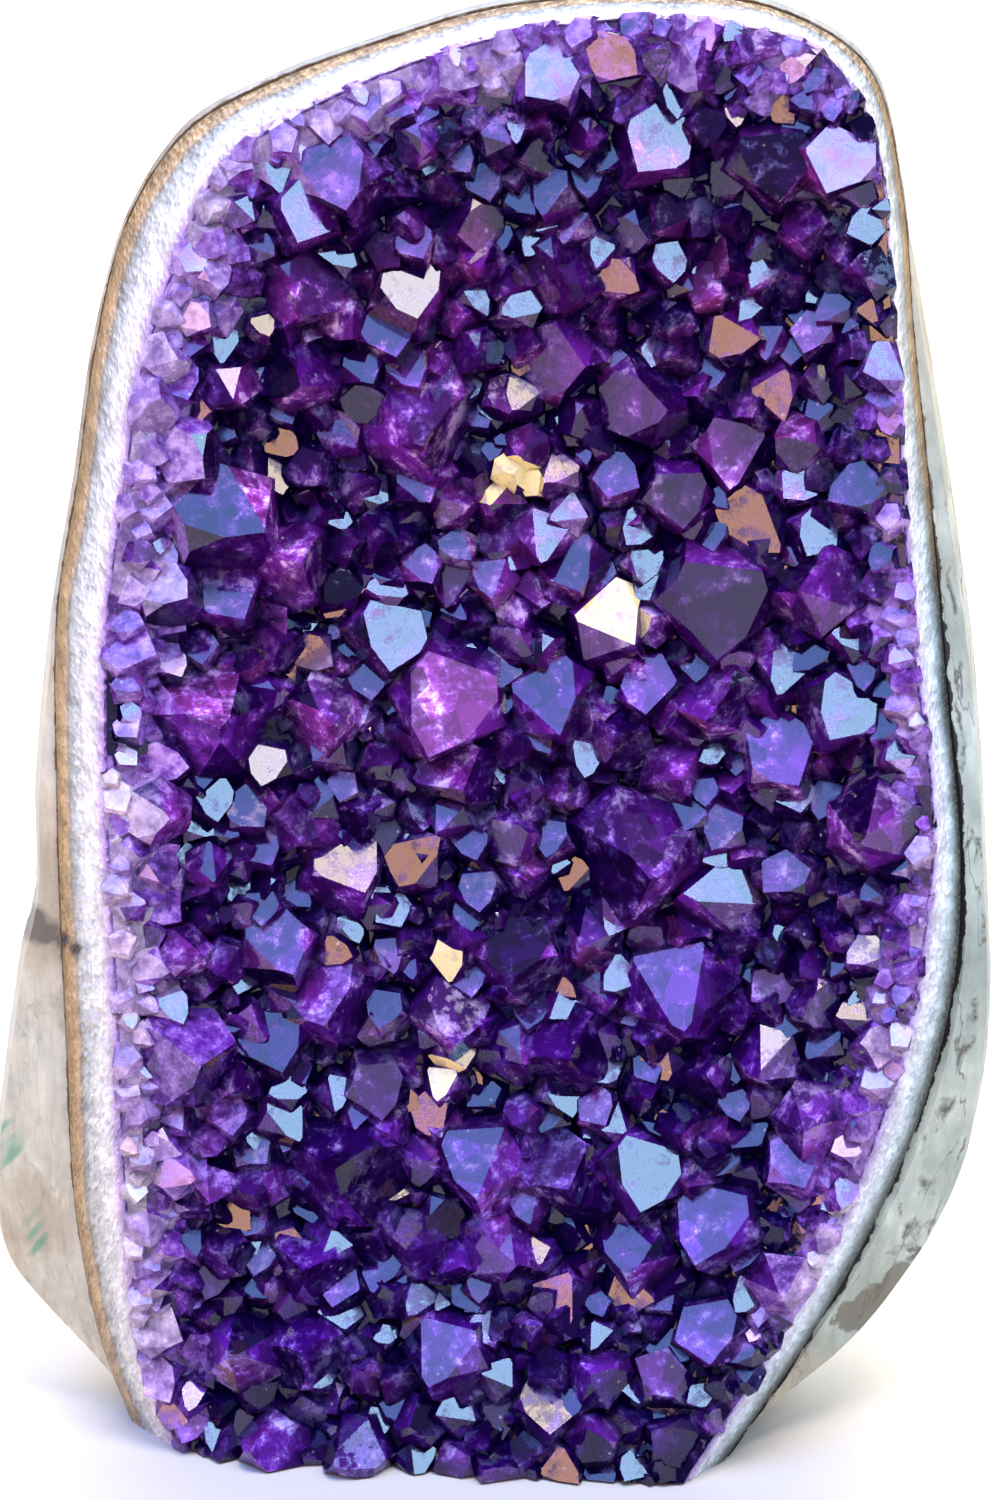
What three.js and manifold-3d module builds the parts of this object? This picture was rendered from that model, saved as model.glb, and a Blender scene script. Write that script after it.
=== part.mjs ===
// Amethyst cluster: an upright piece of a geode that stands on a flat sawn base.
// Outside is a stone rind. It holds a bowl of white quartz with a thin agate edge, and the
// bowl carries one crust of amethyst crystals that grew into each other.
// Millimetres, +Z up, crystals towards -Y. The origin is under the middle, on the sawn base.

import * as THREE from 'three';
import { mergeVertices } from 'three/addons/utils/BufferGeometryUtils.js';
import Module from 'manifold-3d';

const wasm = await Module();
wasm.setup();

// The ground front face: where it stands, how far it leans back, and its blunt nose at the base
const FACE_FRONT_Y = -40;
const FACE_LEAN = THREE.MathUtils.degToRad(7);
const NOSE_X = 12;
const NOSE_TOP_Z = 90;
const NOSE_BEND_LEFT = 0.0045;
const NOSE_BEND_RIGHT = 0.01;

// Outlines on the front face as [x, z], anticlockwise from the right. They run on below the
// floor, where the sawn base cuts them off.
const CRYSTAL_EDGE = [
  [57.5, 88], [54.5, 114], [52.5, 140], [51, 160], [49, 178], [42, 189], [26, 193], [8, 192.5],
  [-10, 188], [-24, 182], [-35, 175], [-41, 163], [-45.5, 150], [-48, 135], [-50.5, 118],
  [-51, 92], [-50, 64], [-49.5, 36], [-47, 10], [-36, -10], [-10, -16], [14, -12], [29, 6],
  [40, 23], [49, 42], [54.5, 62],
];
const AGATE_EDGE = [
  [62, 84], [60, 105], [57.5, 130], [55, 152], [53, 172], [48.5, 187], [36, 194.5], [18, 196],
  [0, 194.5], [-14, 190.5], [-28, 185.5], [-40, 179], [-48, 167.5], [-52.3, 152],
  [-55, 134], [-58, 116], [-58.3, 90], [-57.8, 60], [-57.2, 30], [-53, 6], [-42, -14],
  [-10, -22], [16, -18], [32, 1], [46, 21], [56.5, 44], [61.5, 66],
];
const SKIN_OUTLINE = [
  [66.8, 82], [65, 105], [61, 132], [57.5, 152], [53.5, 170], [47, 183], [35, 190.5],
  [18, 192.5], [1, 190.5], [-14, 186.5], [-27, 181], [-39, 173.5], [-47.5, 162], [-53.5, 146], [-57, 130],
  [-60, 114], [-62.5, 92], [-62.8, 78], [-65, 68], [-67.5, 52], [-69.5, 36], [-68.5, 22],
  [-56.5, 7], [-38, -12], [-10, -24], [18, -18], [34, 1], [51.5, 14], [63, 31], [67.5, 54],
];
const CENTRE = { x: 0, z: 88 };
const RAYS = 36;
const RIND_TURN = 0.5;
const HOLLOW_TURN = 0.3;
const BED_TURN = 0.7;
const SPLINE_STEPS = 600;

// Depths of the layers behind the front face
const BAND_DROP = 4.5;          // the white band slopes back from the crystals to the agate line
const AGATE_WIDTH = 1.8;
const LINING_LIP = 6.2;
const LINING_THICK = 7;
const LINING_INNER = [{ out: -1, depth: 0.4 }, { out: 0.5, depth: 0 }];  // from the crystals' edge
const LINING_SIDE = { inset: 4, depth: 4 };     // from the agate edge and behind the lip
const LINING_BACK = { inset: 3.5, depth: 5 };
const BED_DEPTH = 13;           // middle of the bowl that the crystals grow on
const BED_RIM_DEPTH = 0.8;
const BED_POWER = 4;            // the bowl's floor is flat, and turns up towards the rim
const BOWL_SHARES = [0.97, 0.88, 0.7, 0.4];
const BODY_DEPTH_BASE = 86;
const BODY_DEPTH_TOP = 34;
const BODY_HEIGHT = 196;
const CLEARANCE = 0.3;          // between the layers, so that they stay separate solids
const GROOVE_WIDTH = 1.3;       // open groove inside the rind, on the lower right
const GROOVE_ANGLE = THREE.MathUtils.degToRad(-38);
const GROOVE_SPREAD = 0.55;
const HOLLOW_MOUTH = 1.5;       // the hollow is full width this far in front of the face
const REACH = 60;               // how far the cutting solids run out in front of the face
const REACH_SPREAD = 20;        // and how much wider they are there

// The rind: its lip around the agate line, its widest line, and its outside behind that line
// as [share of the outline, share of the depth from the widest line to the back]
const RIND_LIP = { inset: 4, depth: 0.6 };
const RIND_SHOULDER = { wall: 1, skinInset: 2.5, depth: 1.6 };
const WIDEST_SHARE = 0.26;      // of the whole depth, where the rind is widest
const WIDEST_BEHIND_LIP = 7;    // and at least this far behind the lip
const BACK_PROFILE = [[0.985, 0.22], [0.96, 0.4], [0.91, 0.56], [0.79, 0.73], [0.6, 0.87], [0.33, 0.965]];
const LUMP_HEIGHT = 3;
const LUMP_LENGTHS = [31, 19];
const LUMP_PHASES = [1.1, 0.7];
const LUMP_FINE_SHARE = 0.6;
const LUMP_FULL_SHARE = 1.25;   // lumps grow from the widest line towards the middle of the back
const PITS = [
  { at: [-65, -14, 76], radius: 3.4 },
  { at: [66, 4, 60], radius: 3 },
  { at: [22, 33, 110], radius: 4.2 },
  { at: [-30, 38, 62], radius: 5 },
];

// The largest crystals as [x, z, width, lean to the right, lean upwards], in mm and degrees
const MAIN_CRYSTALS = [
  [19, 83, 17, 4, -10], [24.5, 65, 15.5, 6, -24], [30, 117, 17, 10, -16], [-37, 128, 15, -8, 10],
  [-10.5, 141, 15.5, 6, -8], [38, 97, 11.5, 10, 18], [46, 104, 11, 4, -28], [-43, 57, 13.5, -12, 6],
  [-1.5, 41, 12, -4, -22], [8, 40, 11.5, 8, -6], [-20, 40.5, 16, -6, 8], [-5, 16, 11, -14, -26],
  [-25.5, 14.5, 10.5, 4, 4], [8.5, 161, 11.5, 8, -12], [36, 176, 11.5, 12, -22], [44, 176, 10, 14, -18],
  [7, 186, 9.5, -4, 24], [-6, 105, 14, -6, -20], [-28, 122, 12, 4, 4], [-36, 118.5, 10, -6, -4],
  [-15, 153, 10.5, 4, -14], [-39, 102, 16, -14, 0], [43, 49, 10, 12, -12], [51, 89, 11, 16, -6],
  [-12, 80, 8.5, -6, 16], [-11.5, 158, 10, 8, -10], [-20, 173, 12, -8, -10], [-25, 169, 10, -6, 2],
  [10, 122, 8.5, -8, 20], [6, 127, 9, 12, 10], [24, 133, 10, 10, -12], [30, 152, 8.5, 4, 4],
  [37, 147, 7.5, 6, -8], [21, 106, 9, 0, -20], [17, 98, 8.5, -4, 6], [-5, 94, 11, 2, -12],
  [-23, 102, 10.5, 4, -10], [-15, 124.5, 8.5, -6, 0], [-44, 119, 8.5, -10, 4], [-46, 91, 8, -16, -4],
  [-30, 71, 10, 6, -14], [-6, 62, 10, 8, -20], [-17, 53, 8.5, 10, -8], [29, 20, 9.5, 8, -24],
  [7, 8, 9.5, 6, -20], [15, 12, 8, -4, 10], [24, 12, 7.5, 8, 12], [-10, 30, 9, -8, -4],
  [40, 43, 8.5, 14, 6], [9, 25, 8, -6, -14], [14, 3.5, 7, 0, 20], [-34, 14, 10, -10, 10],
];
const SEED = 20517;
const FILL_TRIES = 5200;
const FILL_WIDTH_MAX = 12;
const FILL_WIDTH_MIN = 6.5;
const FILL_SPACING = 0.44;      // of the sum of two widths, between neighbouring crystals
const FILL_LEAN = 20;           // degrees, the most that a small crystal leans
const THREE_FACED_BELOW = 8.2;  // narrower crystals show only the three large faces of the tip
const RIM_SHRINK = 0.62;        // crystals at the rim are this share of the width elsewhere
const FILL_RIM_START = 0.8;     // of the bowl, where crystals begin to get smaller
const FILL_RIM_END = 0.975;     // and where they end
const FILL_DROOP = 0.25;        // small crystals point a little downwards on the whole
const BED_THICK = 6;
const BED_PROUD = 0.2;          // the bed's rim stands in front of the face by no more than this
const ROOT_SHARE = 0.77;        // of the bed's thickness, where a crystal's own height starts
const HEIGHT_SHARES = { least: 0.6, spread: 0.15 };  // of its width, a crystal's height above that
const RADIUS_SHARE = 0.66;      // the prism is wider than the crystal looks, as neighbours hide it
const CRYSTAL_SIDES = 6;
const CRYSTAL_TAPER = 0.92;
const CAP_SLOPE = Math.tan(THREE.MathUtils.degToRad(51.8));  // of quartz's tip faces
const CAP_LARGE_DROP = 0.16;    // three faces of a tip lie lower, so they are the larger ones
const CAP_SMALL_LIFT = 0.08;
const CAP_SPREAD = 0.2;
const CRYSTAL_FLOOR_Z = 0.4;    // the crust ends just above the sawn base

const FINISHES = {
  stone_rind: { color: 0xb3aea2, roughness: 0.8 },
  quartz_lining: { color: 0xe3e4df, roughness: 0.5 },
  amethyst_crust: { color: 0x4c1f86, roughness: 0.12 },
};

// A repeatable source of numbers from 0 to 1
function makeRandom(seed) {
  let state = seed;
  return () => {
    state = (Math.imul(state, 1664525) + 1013904223) >>> 0;
    return state / 4294967296;
  };
}

// Y of the plane that the front face follows, at a height
function planeY(z) {
  return FACE_FRONT_Y + Math.tan(FACE_LEAN) * z;
}

// Y of the ground front face, which bends back from its nose towards the base's corners
function faceY(x, z) {
  const rise = Math.max(0, 1 - Math.max(z, 0) / NOSE_TOP_Z) ** 2;
  const bend = x < NOSE_X ? NOSE_BEND_LEFT : NOSE_BEND_RIGHT;
  return planeY(z) + bend * (x - NOSE_X) ** 2 * rise;
}

// Thickness of the whole piece at a height
function bodyDepth(z) {
  return THREE.MathUtils.lerp(BODY_DEPTH_BASE, BODY_DEPTH_TOP, THREE.MathUtils.clamp(z / BODY_HEIGHT, 0, 1));
}

// A closed smooth curve through an outline, seen from the centre
function outlineCurve(outline) {
  const points = outline.map(([x, z]) => new THREE.Vector3(x - CENTRE.x, 0, z - CENTRE.z));
  return new THREE.CatmullRomCurve3(points, true, 'centripetal');
}

// Distance from the centre to an outline, at any angle
function radiiOf(outline) {
  const spline = outlineCurve(outline).getPoints(SPLINE_STEPS);
  const polar = spline.map((p) => ({ angle: Math.atan2(p.z, p.x), radius: Math.hypot(p.x, p.z) }));
  polar.sort((a, b) => a.angle - b.angle);
  return (angle) => {
    const next = Math.max(0, polar.findIndex((p) => p.angle >= angle));
    const after = polar[next];
    const before = polar[(next + polar.length - 1) % polar.length];
    const span = after.angle - before.angle;
    const share = span > 0 ? (angle - before.angle) / span : 0;
    return THREE.MathUtils.lerp(before.radius, after.radius, share);
  };
}

const crystalRadius = radiiOf(CRYSTAL_EDGE);
const agateRadius = radiiOf(AGATE_EDGE);
const skinRadius = radiiOf(SKIN_OUTLINE);
const agateCurve = outlineCurve(AGATE_EDGE);

// The rays are spaced evenly along the agate edge, so that its corners are as smooth as its sides
function rayAngle(index) {
  const point = agateCurve.getPointAt((index % RAYS) / RAYS);
  return Math.atan2(point.z, point.x);
}

// One point of a ring: a ray's angle, its distance from the centre, and its depth. A point
// that is grown moves outwards at the depth it had.
function ringPoint(angle, radius, depthAt, grow = 0) {
  const across = Math.cos(angle);
  const up = Math.sin(angle);
  const depth = depthAt(CENTRE.x + radius * across, CENTRE.z + radius * up);
  return new THREE.Vector3(CENTRE.x + (radius + grow) * across, depth, CENTRE.z + (radius + grow) * up);
}

// Rings that cut each other are turned by different shares of a step, so no edges coincide
function ring(radiusAt, depthAt, turn = 0, growAt = () => 0) {
  return Array.from({ length: RAYS }, (_, index) => {
    const angle = rayAngle(index + turn);
    return ringPoint(angle, radiusAt(angle), depthAt, growAt(angle));
  });
}

function pole(depthAt) {
  return ringPoint(0, 0, depthAt);
}

// A closed solid from a first pole, rings from front to back, and a last pole
function ringSolid(firstPole, rings, lastPole) {
  const points = [firstPole, ...rings.flat(), lastPole];
  const last = points.length - 1;
  const at = (ringIndex, ray) => 1 + ringIndex * RAYS + (ray % RAYS);
  const triangles = [];
  for (let ray = 0; ray < RAYS; ray += 1) {
    triangles.push(0, at(0, ray), at(0, ray + 1));
    triangles.push(last, at(rings.length - 1, ray + 1), at(rings.length - 1, ray));
    for (let k = 0; k + 1 < rings.length; k += 1) {
      triangles.push(at(k, ray), at(k + 1, ray), at(k + 1, ray + 1));
      triangles.push(at(k, ray), at(k + 1, ray + 1), at(k, ray + 1));
    }
  }
  const geometry = new THREE.BufferGeometry().setFromPoints(points);
  geometry.setIndex(triangles);
  return toSolid(geometry);
}

function toSolid(geometry) {
  const bare = geometry.clone();
  bare.deleteAttribute('normal');
  bare.deleteAttribute('uv');
  const merged = mergeVertices(bare);
  const mesh = new wasm.Mesh({
    numProp: 3,
    vertProperties: new Float32Array(merged.attributes.position.array),
    triVerts: new Uint32Array(merged.index.array),
  });
  return new wasm.Manifold(mesh);
}

function toGeometry(solid) {
  const { vertProperties, triVerts } = solid.getMesh();
  const geometry = new THREE.BufferGeometry();
  geometry.setAttribute('position', new THREE.BufferAttribute(new Float32Array(vertProperties), 3));
  geometry.setIndex(new THREE.BufferAttribute(new Uint32Array(triVerts), 1));
  return geometry;
}

// Everything below a height, as one box
function belowFloor(height) {
  const side = 600;
  return toSolid(new THREE.BoxGeometry(side, side, side).translate(0, 0, height - side / 2));
}

// Depth of the bowl that carries the crystals, from its rim (share 1) to its middle (share 0)
function bedDrop(share) {
  return BED_DEPTH * (1 - Math.min(share, 1) ** BED_POWER) + BED_RIM_DEPTH;
}

// Thickness of the crust's bed, which gets thin towards the rim
function bedThick(share) {
  return Math.min(BED_THICK, bedDrop(share) + BED_PROUD);
}

function shareOfBowl(x, z) {
  const angle = Math.atan2(z - CENTRE.z, x - CENTRE.x);
  return Math.hypot(x - CENTRE.x, z - CENTRE.z) / crystalRadius(angle);
}

function bedY(x, z) {
  return faceY(x, z) + bedDrop(shareOfBowl(x, z));
}

// The space in front of the bowl, drawn in by a gap; the crystals are kept inside it
function hollowInFront(gap) {
  const ahead = (x, z) => faceY(x, z) - REACH;
  const mouth = (x, z) => faceY(x, z) - HOLLOW_MOUTH;
  const drawnIn = () => -gap;
  const bowl = (share) => ring(
    (angle) => crystalRadius(angle) * share,
    (x, z) => faceY(x, z) + bedDrop(share) - gap,
    HOLLOW_TURN,
    drawnIn,
  );
  const rings = [
    ring((angle) => crystalRadius(angle) + REACH_SPREAD, ahead, HOLLOW_TURN),
    ring(crystalRadius, mouth, HOLLOW_TURN, drawnIn),
    ...BOWL_SHARES.map(bowl),
  ];
  return ringSolid(pole(ahead), rings, pole((x, z) => faceY(x, z) + bedDrop(0) - gap));
}

// Share of the open groove at a ray: 1 at its middle, 0 away from it
function grooveShare(angle) {
  const off = Math.atan2(Math.sin(angle - GROOVE_ANGLE), Math.cos(angle - GROOVE_ANGLE));
  return Math.exp(-((off / GROOVE_SPREAD) ** 2));
}

// The lining's outer side and back, grown by a gap
function liningRings(gap) {
  const grown = () => gap;
  const back = (share) => ring(
    (angle) => (agateRadius(angle) - LINING_BACK.inset) * share,
    (x, z) => faceY(x, z) + Math.max(bedDrop(share) + LINING_THICK, LINING_LIP + LINING_BACK.depth) + gap,
    0,
    grown,
  );
  const side = ring(
    (angle) => agateRadius(angle) - LINING_SIDE.inset,
    (x, z) => faceY(x, z) + LINING_LIP + LINING_SIDE.depth + gap,
    0,
    grown,
  );
  return [side, ...BOWL_SHARES.map(back)];
}

function liningBlank() {
  const inner = LINING_INNER.map(({ out, depth }) => (
    ring((angle) => crystalRadius(angle) + out, (x, z) => faceY(x, z) + depth)
  ));
  const rings = [
    ...inner,
    ring((angle) => agateRadius(angle) - AGATE_WIDTH, (x, z) => faceY(x, z) + BAND_DROP),
    ring((angle) => agateRadius(angle), (x, z) => faceY(x, z) + LINING_LIP),
    ...liningRings(0),
  ];
  const backPole = pole((x, z) => faceY(x, z) + bedDrop(0) + LINING_THICK);
  return ringSolid(pole((x, z) => faceY(x, z) + LINING_INNER[0].depth), rings, backPole);
}

// What is taken out of the rind for the lining, with the open groove at its mouth
function liningPocket() {
  const ahead = (x, z) => faceY(x, z) - REACH;
  const mouth = (angle) => CLEARANCE + GROOVE_WIDTH * grooveShare(angle);
  const rings = [
    ring((angle) => agateRadius(angle) + REACH_SPREAD, ahead),
    ring(agateRadius, (x, z) => faceY(x, z) + LINING_LIP + CLEARANCE, 0, mouth),
    ...liningRings(CLEARANCE),
  ];
  const backPole = pole((x, z) => faceY(x, z) + bedDrop(0) + LINING_THICK + CLEARANCE);
  return ringSolid(pole(ahead), rings, backPole);
}

// Low lumps on the outside of the rind
function lump(x, y, z) {
  const [long, short] = LUMP_LENGTHS;
  const broad = Math.sin(x / long + LUMP_PHASES[0]) * Math.cos(z / long + y / short);
  const fine = Math.sin(z / short + LUMP_PHASES[1]) * Math.cos(x / short - y / long);
  return LUMP_HEIGHT * (broad + LUMP_FINE_SHARE * fine);
}

// Y of the rind where it is widest, and of its back
function widestY(x, z) {
  return Math.max(planeY(z) + WIDEST_SHARE * bodyDepth(z), faceY(x, z) + LINING_LIP + WIDEST_BEHIND_LIP);
}

function backY(z) {
  return planeY(z) + bodyDepth(z);
}

function rindBody() {
  const lipY = (x, z) => faceY(x, z) + LINING_LIP + RIND_LIP.depth;
  const shoulderY = (x, z) => faceY(x, z) + LINING_LIP + RIND_SHOULDER.depth;
  const { wall, skinInset } = RIND_SHOULDER;
  const shoulderRadius = (angle) => Math.max(agateRadius(angle), skinRadius(angle) - skinInset) + wall;
  const rings = [
    ring((angle) => agateRadius(angle) - RIND_LIP.inset, lipY, RIND_TURN),
    ring(shoulderRadius, shoulderY, RIND_TURN),
    ring(skinRadius, widestY, RIND_TURN),
  ];
  const middle = new THREE.Vector3(CENTRE.x, 0, CENTRE.z);
  for (const [share, depth] of BACK_PROFILE) {
    const depthAt = (x, z) => THREE.MathUtils.lerp(widestY(x, z), backY(z), depth);
    const plain = ring((angle) => skinRadius(angle) * share, depthAt, RIND_TURN);
    rings.push(plain.map((p) => {
      const outward = p.clone().sub(middle).normalize();
      return p.addScaledVector(outward, lump(p.x, p.y, p.z) * (LUMP_FULL_SHARE - share));
    }));
  }
  return ringSolid(pole(lipY), rings, pole((x, z) => backY(z)));
}

function pitCutter({ at, radius }) {
  return toSolid(new THREE.IcosahedronGeometry(radius, 1).translate(...at));
}

function buildRind() {
  let solid = rindBody().subtract(liningPocket()).subtract(belowFloor(0));
  for (const pit of PITS) {
    solid = solid.subtract(pitCutter(pit));
  }
  return solid;
}

function buildLining() {
  return liningBlank().subtract(hollowInFront(0)).subtract(belowFloor(0));
}

// One quartz crystal along +Z with its middle on the origin: a six-sided prism, cut by six
// sloping faces of which three lie nearer the tip's middle than the other three
function crystalSolid(width, height, random) {
  const radius = width * RADIUS_SHARE;
  const apothem = radius * Math.cos(Math.PI / CRYSTAL_SIDES);
  const prism = new THREE.CylinderGeometry(radius, radius * CRYSTAL_TAPER, height * 2, CRYSTAL_SIDES);
  prism.rotateX(Math.PI / 2);
  let solid = toSolid(prism);
  const everySide = width < THREE_FACED_BELOW ? 2 : 1;
  for (let side = 0; side < CRYSTAL_SIDES; side += everySide) {
    const angle = ((side + 0.5) / CRYSTAL_SIDES) * 2 * Math.PI;
    const level = side % 2 === 0 ? -CAP_LARGE_DROP : CAP_SMALL_LIFT;
    const uneven = level + CAP_SPREAD * (random() - 0.5);
    const top = height + apothem * CAP_SLOPE * uneven;
    const normal = new THREE.Vector3(Math.sin(angle) * CAP_SLOPE, Math.cos(angle) * CAP_SLOPE, 1).normalize();
    solid = solid.trimByPlane([-normal.x, -normal.y, -normal.z], -normal.z * top);
  }
  return solid;
}

// The direction that a crystal points: out of the bowl, leaning to one side and up or down
function crystalAim(x, z, leanRight, leanUp) {
  const step = 0.5;
  const normal = new THREE.Vector3(
    (bedY(x + step, z) - bedY(x - step, z)) / (2 * step),
    -1,
    (bedY(x, z + step) - bedY(x, z - step)) / (2 * step),
  ).normalize();
  const right = Math.tan(THREE.MathUtils.degToRad(leanRight));
  const up = Math.tan(THREE.MathUtils.degToRad(leanUp));
  return normal.add(new THREE.Vector3(right, 0, up)).normalize();
}

function placedCrystal(spec, random) {
  const { x, z, width, leanRight, leanUp } = spec;
  const { least, spread } = HEIGHT_SHARES;
  const height = ROOT_SHARE * bedThick(shareOfBowl(x, z)) + width * (least + spread * random());
  const turn = new THREE.Quaternion().setFromAxisAngle(new THREE.Vector3(0, 0, 1), random() * Math.PI);
  const aim = new THREE.Quaternion().setFromUnitVectors(
    new THREE.Vector3(0, 0, 1),
    crystalAim(x, z, leanRight, leanUp),
  );
  const matrix = new THREE.Matrix4().compose(
    new THREE.Vector3(x, bedY(x, z), z),
    aim.multiply(turn),
    new THREE.Vector3(1, 1, 1),
  );
  return crystalSolid(width, height, random).transform(matrix.toArray());
}

// Small crystals are thrown at the bowl and kept where there is room
function crystalLayout(random) {
  const placed = MAIN_CRYSTALS.map(([x, z, width, leanRight, leanUp]) => ({ x, z, width, leanRight, leanUp }));
  const west = Math.min(...CRYSTAL_EDGE.map(([x]) => x));
  const east = Math.max(...CRYSTAL_EDGE.map(([x]) => x));
  for (let attempt = 0; attempt < FILL_TRIES; attempt += 1) {
    const x = THREE.MathUtils.lerp(west, east, random());
    const z = THREE.MathUtils.lerp(0, BODY_HEIGHT, random());
    const lateness = attempt / FILL_TRIES;
    const share = shareOfBowl(x, z);
    const rimward = THREE.MathUtils.smoothstep(share, FILL_RIM_START, 1);
    const plain = THREE.MathUtils.lerp(FILL_WIDTH_MAX, FILL_WIDTH_MIN, lateness);
    const width = plain * (1 - (1 - RIM_SHRINK) * rimward);
    const roomy = placed.every((other) => (
      Math.hypot(x - other.x, z - other.z) > FILL_SPACING * (width + other.width)
    ));
    if (share < FILL_RIM_END && roomy) {
      const leanRight = FILL_LEAN * (2 * random() - 1);
      const leanUp = FILL_LEAN * (2 * random() - 1 - FILL_DROOP);
      placed.push({ x, z, width, leanRight, leanUp });
    }
  }
  return placed;
}

// A thin bed under the crystals joins them into one crust; the hollow trims its back and edge
function crystalBed() {
  const side = (share, lift) => ring(
    (angle) => crystalRadius(angle) * share,
    (x, z) => faceY(x, z) + bedDrop(share) - lift,
    BED_TURN,
  );
  const rings = [
    ...[...BOWL_SHARES].reverse().map((share) => side(share, bedThick(share))),
    ...BOWL_SHARES.map((share) => side(share, -BED_THICK)),
  ];
  const middle = (lift) => pole((x, z) => faceY(x, z) + bedDrop(0) - lift);
  return ringSolid(middle(BED_THICK), rings, middle(-BED_THICK));
}

function buildCrust() {
  const random = makeRandom(SEED);
  const crystals = crystalLayout(random).map((spec) => placedCrystal(spec, random));
  return wasm.Manifold.union([crystalBed(), ...crystals])
    .intersect(hollowInFront(CLEARANCE))
    .subtract(belowFloor(CRYSTAL_FLOOR_Z));
}

function namedMesh(name, solid) {
  const mesh = new THREE.Mesh(toGeometry(solid), new THREE.MeshStandardMaterial(FINISHES[name]));
  mesh.name = name;
  return mesh;
}

function buildCluster() {
  const group = new THREE.Group();
  group.add(namedMesh('stone_rind', buildRind()));
  group.add(namedMesh('quartz_lining', buildLining()));
  group.add(namedMesh('amethyst_crust', buildCrust()));
  const box = new THREE.Box3().setFromObject(group, true);
  const middle = box.getCenter(new THREE.Vector3());
  group.position.set(-middle.x, -middle.y, 0);
  return group;
}

export default buildCluster();
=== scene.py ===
import itertools
import math
from functools import partial

import bmesh
import bpy
import numpy as np
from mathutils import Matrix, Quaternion, Vector


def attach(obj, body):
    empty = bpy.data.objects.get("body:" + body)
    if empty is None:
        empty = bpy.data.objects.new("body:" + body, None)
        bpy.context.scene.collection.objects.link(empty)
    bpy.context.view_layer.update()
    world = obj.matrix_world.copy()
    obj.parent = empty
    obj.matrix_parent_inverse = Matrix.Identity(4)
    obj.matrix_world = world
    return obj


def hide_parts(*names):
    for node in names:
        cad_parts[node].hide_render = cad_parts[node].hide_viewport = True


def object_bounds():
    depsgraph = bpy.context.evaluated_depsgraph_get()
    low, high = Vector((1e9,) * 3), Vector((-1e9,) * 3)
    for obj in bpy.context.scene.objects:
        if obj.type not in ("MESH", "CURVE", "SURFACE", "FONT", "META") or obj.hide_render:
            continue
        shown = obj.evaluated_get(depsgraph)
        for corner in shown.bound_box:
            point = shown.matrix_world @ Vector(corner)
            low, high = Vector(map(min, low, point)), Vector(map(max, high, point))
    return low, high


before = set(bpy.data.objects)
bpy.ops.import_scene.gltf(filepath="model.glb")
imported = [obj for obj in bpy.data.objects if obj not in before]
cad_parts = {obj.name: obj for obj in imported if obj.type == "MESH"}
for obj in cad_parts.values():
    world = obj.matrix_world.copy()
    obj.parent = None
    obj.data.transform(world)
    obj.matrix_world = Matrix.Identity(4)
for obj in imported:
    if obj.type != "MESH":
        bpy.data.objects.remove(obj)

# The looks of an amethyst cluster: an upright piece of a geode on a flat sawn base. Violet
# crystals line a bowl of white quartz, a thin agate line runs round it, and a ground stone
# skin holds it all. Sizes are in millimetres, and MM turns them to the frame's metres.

CAD_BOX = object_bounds()
MM = 0.001

# Where the piece's own x and y start, in the frame
MODEL_SHIFT = (0.992, 2.524)

# The ground front face: where it stands, how far it leans back, and its blunt nose
FACE_FRONT_Y = -40.0
FACE_LEAN = math.radians(7)
NOSE_X = 12.0
NOSE_TOP_Z = 90.0
NOSE_BEND_LEFT = 0.0045
NOSE_BEND_RIGHT = 0.01

# Outlines on the front face as (x, z), anticlockwise from the right
CRYSTAL_EDGE = [
    (57.5, 88), (54.5, 114), (52.5, 140), (51, 160), (49, 178), (42, 189), (26, 193), (8, 192.5),
    (-10, 188), (-24, 182), (-35, 175), (-41, 163), (-45.5, 150), (-48, 135), (-50.5, 118),
    (-51, 92), (-50, 64), (-49.5, 36), (-47, 10), (-36, -10), (-10, -16), (14, -12), (29, 6),
    (40, 23), (49, 42), (54.5, 62),
]
AGATE_EDGE = [
    (62, 84), (60, 105), (57.5, 130), (55, 152), (53, 172), (48.5, 187), (36, 194.5), (18, 196),
    (0, 194.5), (-14, 190.5), (-28, 185.5), (-40, 179), (-48, 167.5), (-52.3, 152),
    (-55, 134), (-58, 116), (-58.3, 90), (-57.8, 60), (-57.2, 30), (-53, 6), (-42, -14),
    (-10, -22), (16, -18), (32, 1), (46, 21), (56.5, 44), (61.5, 66),
]
SKIN_OUTLINE = [
    (66.8, 82), (65, 105), (61, 132), (57.5, 152), (53.5, 170), (47, 183), (35, 190.5),
    (18, 192.5), (1, 190.5), (-14, 186.5), (-27, 181), (-39, 173.5), (-47.5, 162), (-53.5, 146),
    (-57, 130), (-60, 114), (-62.5, 92), (-62.8, 78), (-65, 68), (-67.5, 52), (-69.5, 36),
    (-68.5, 22), (-56.5, 7), (-38, -12), (-10, -24), (18, -18), (34, 1), (51.5, 14), (63, 31),
    (67.5, 54),
]
CENTRE = np.array([0.0, 88.0])

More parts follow.
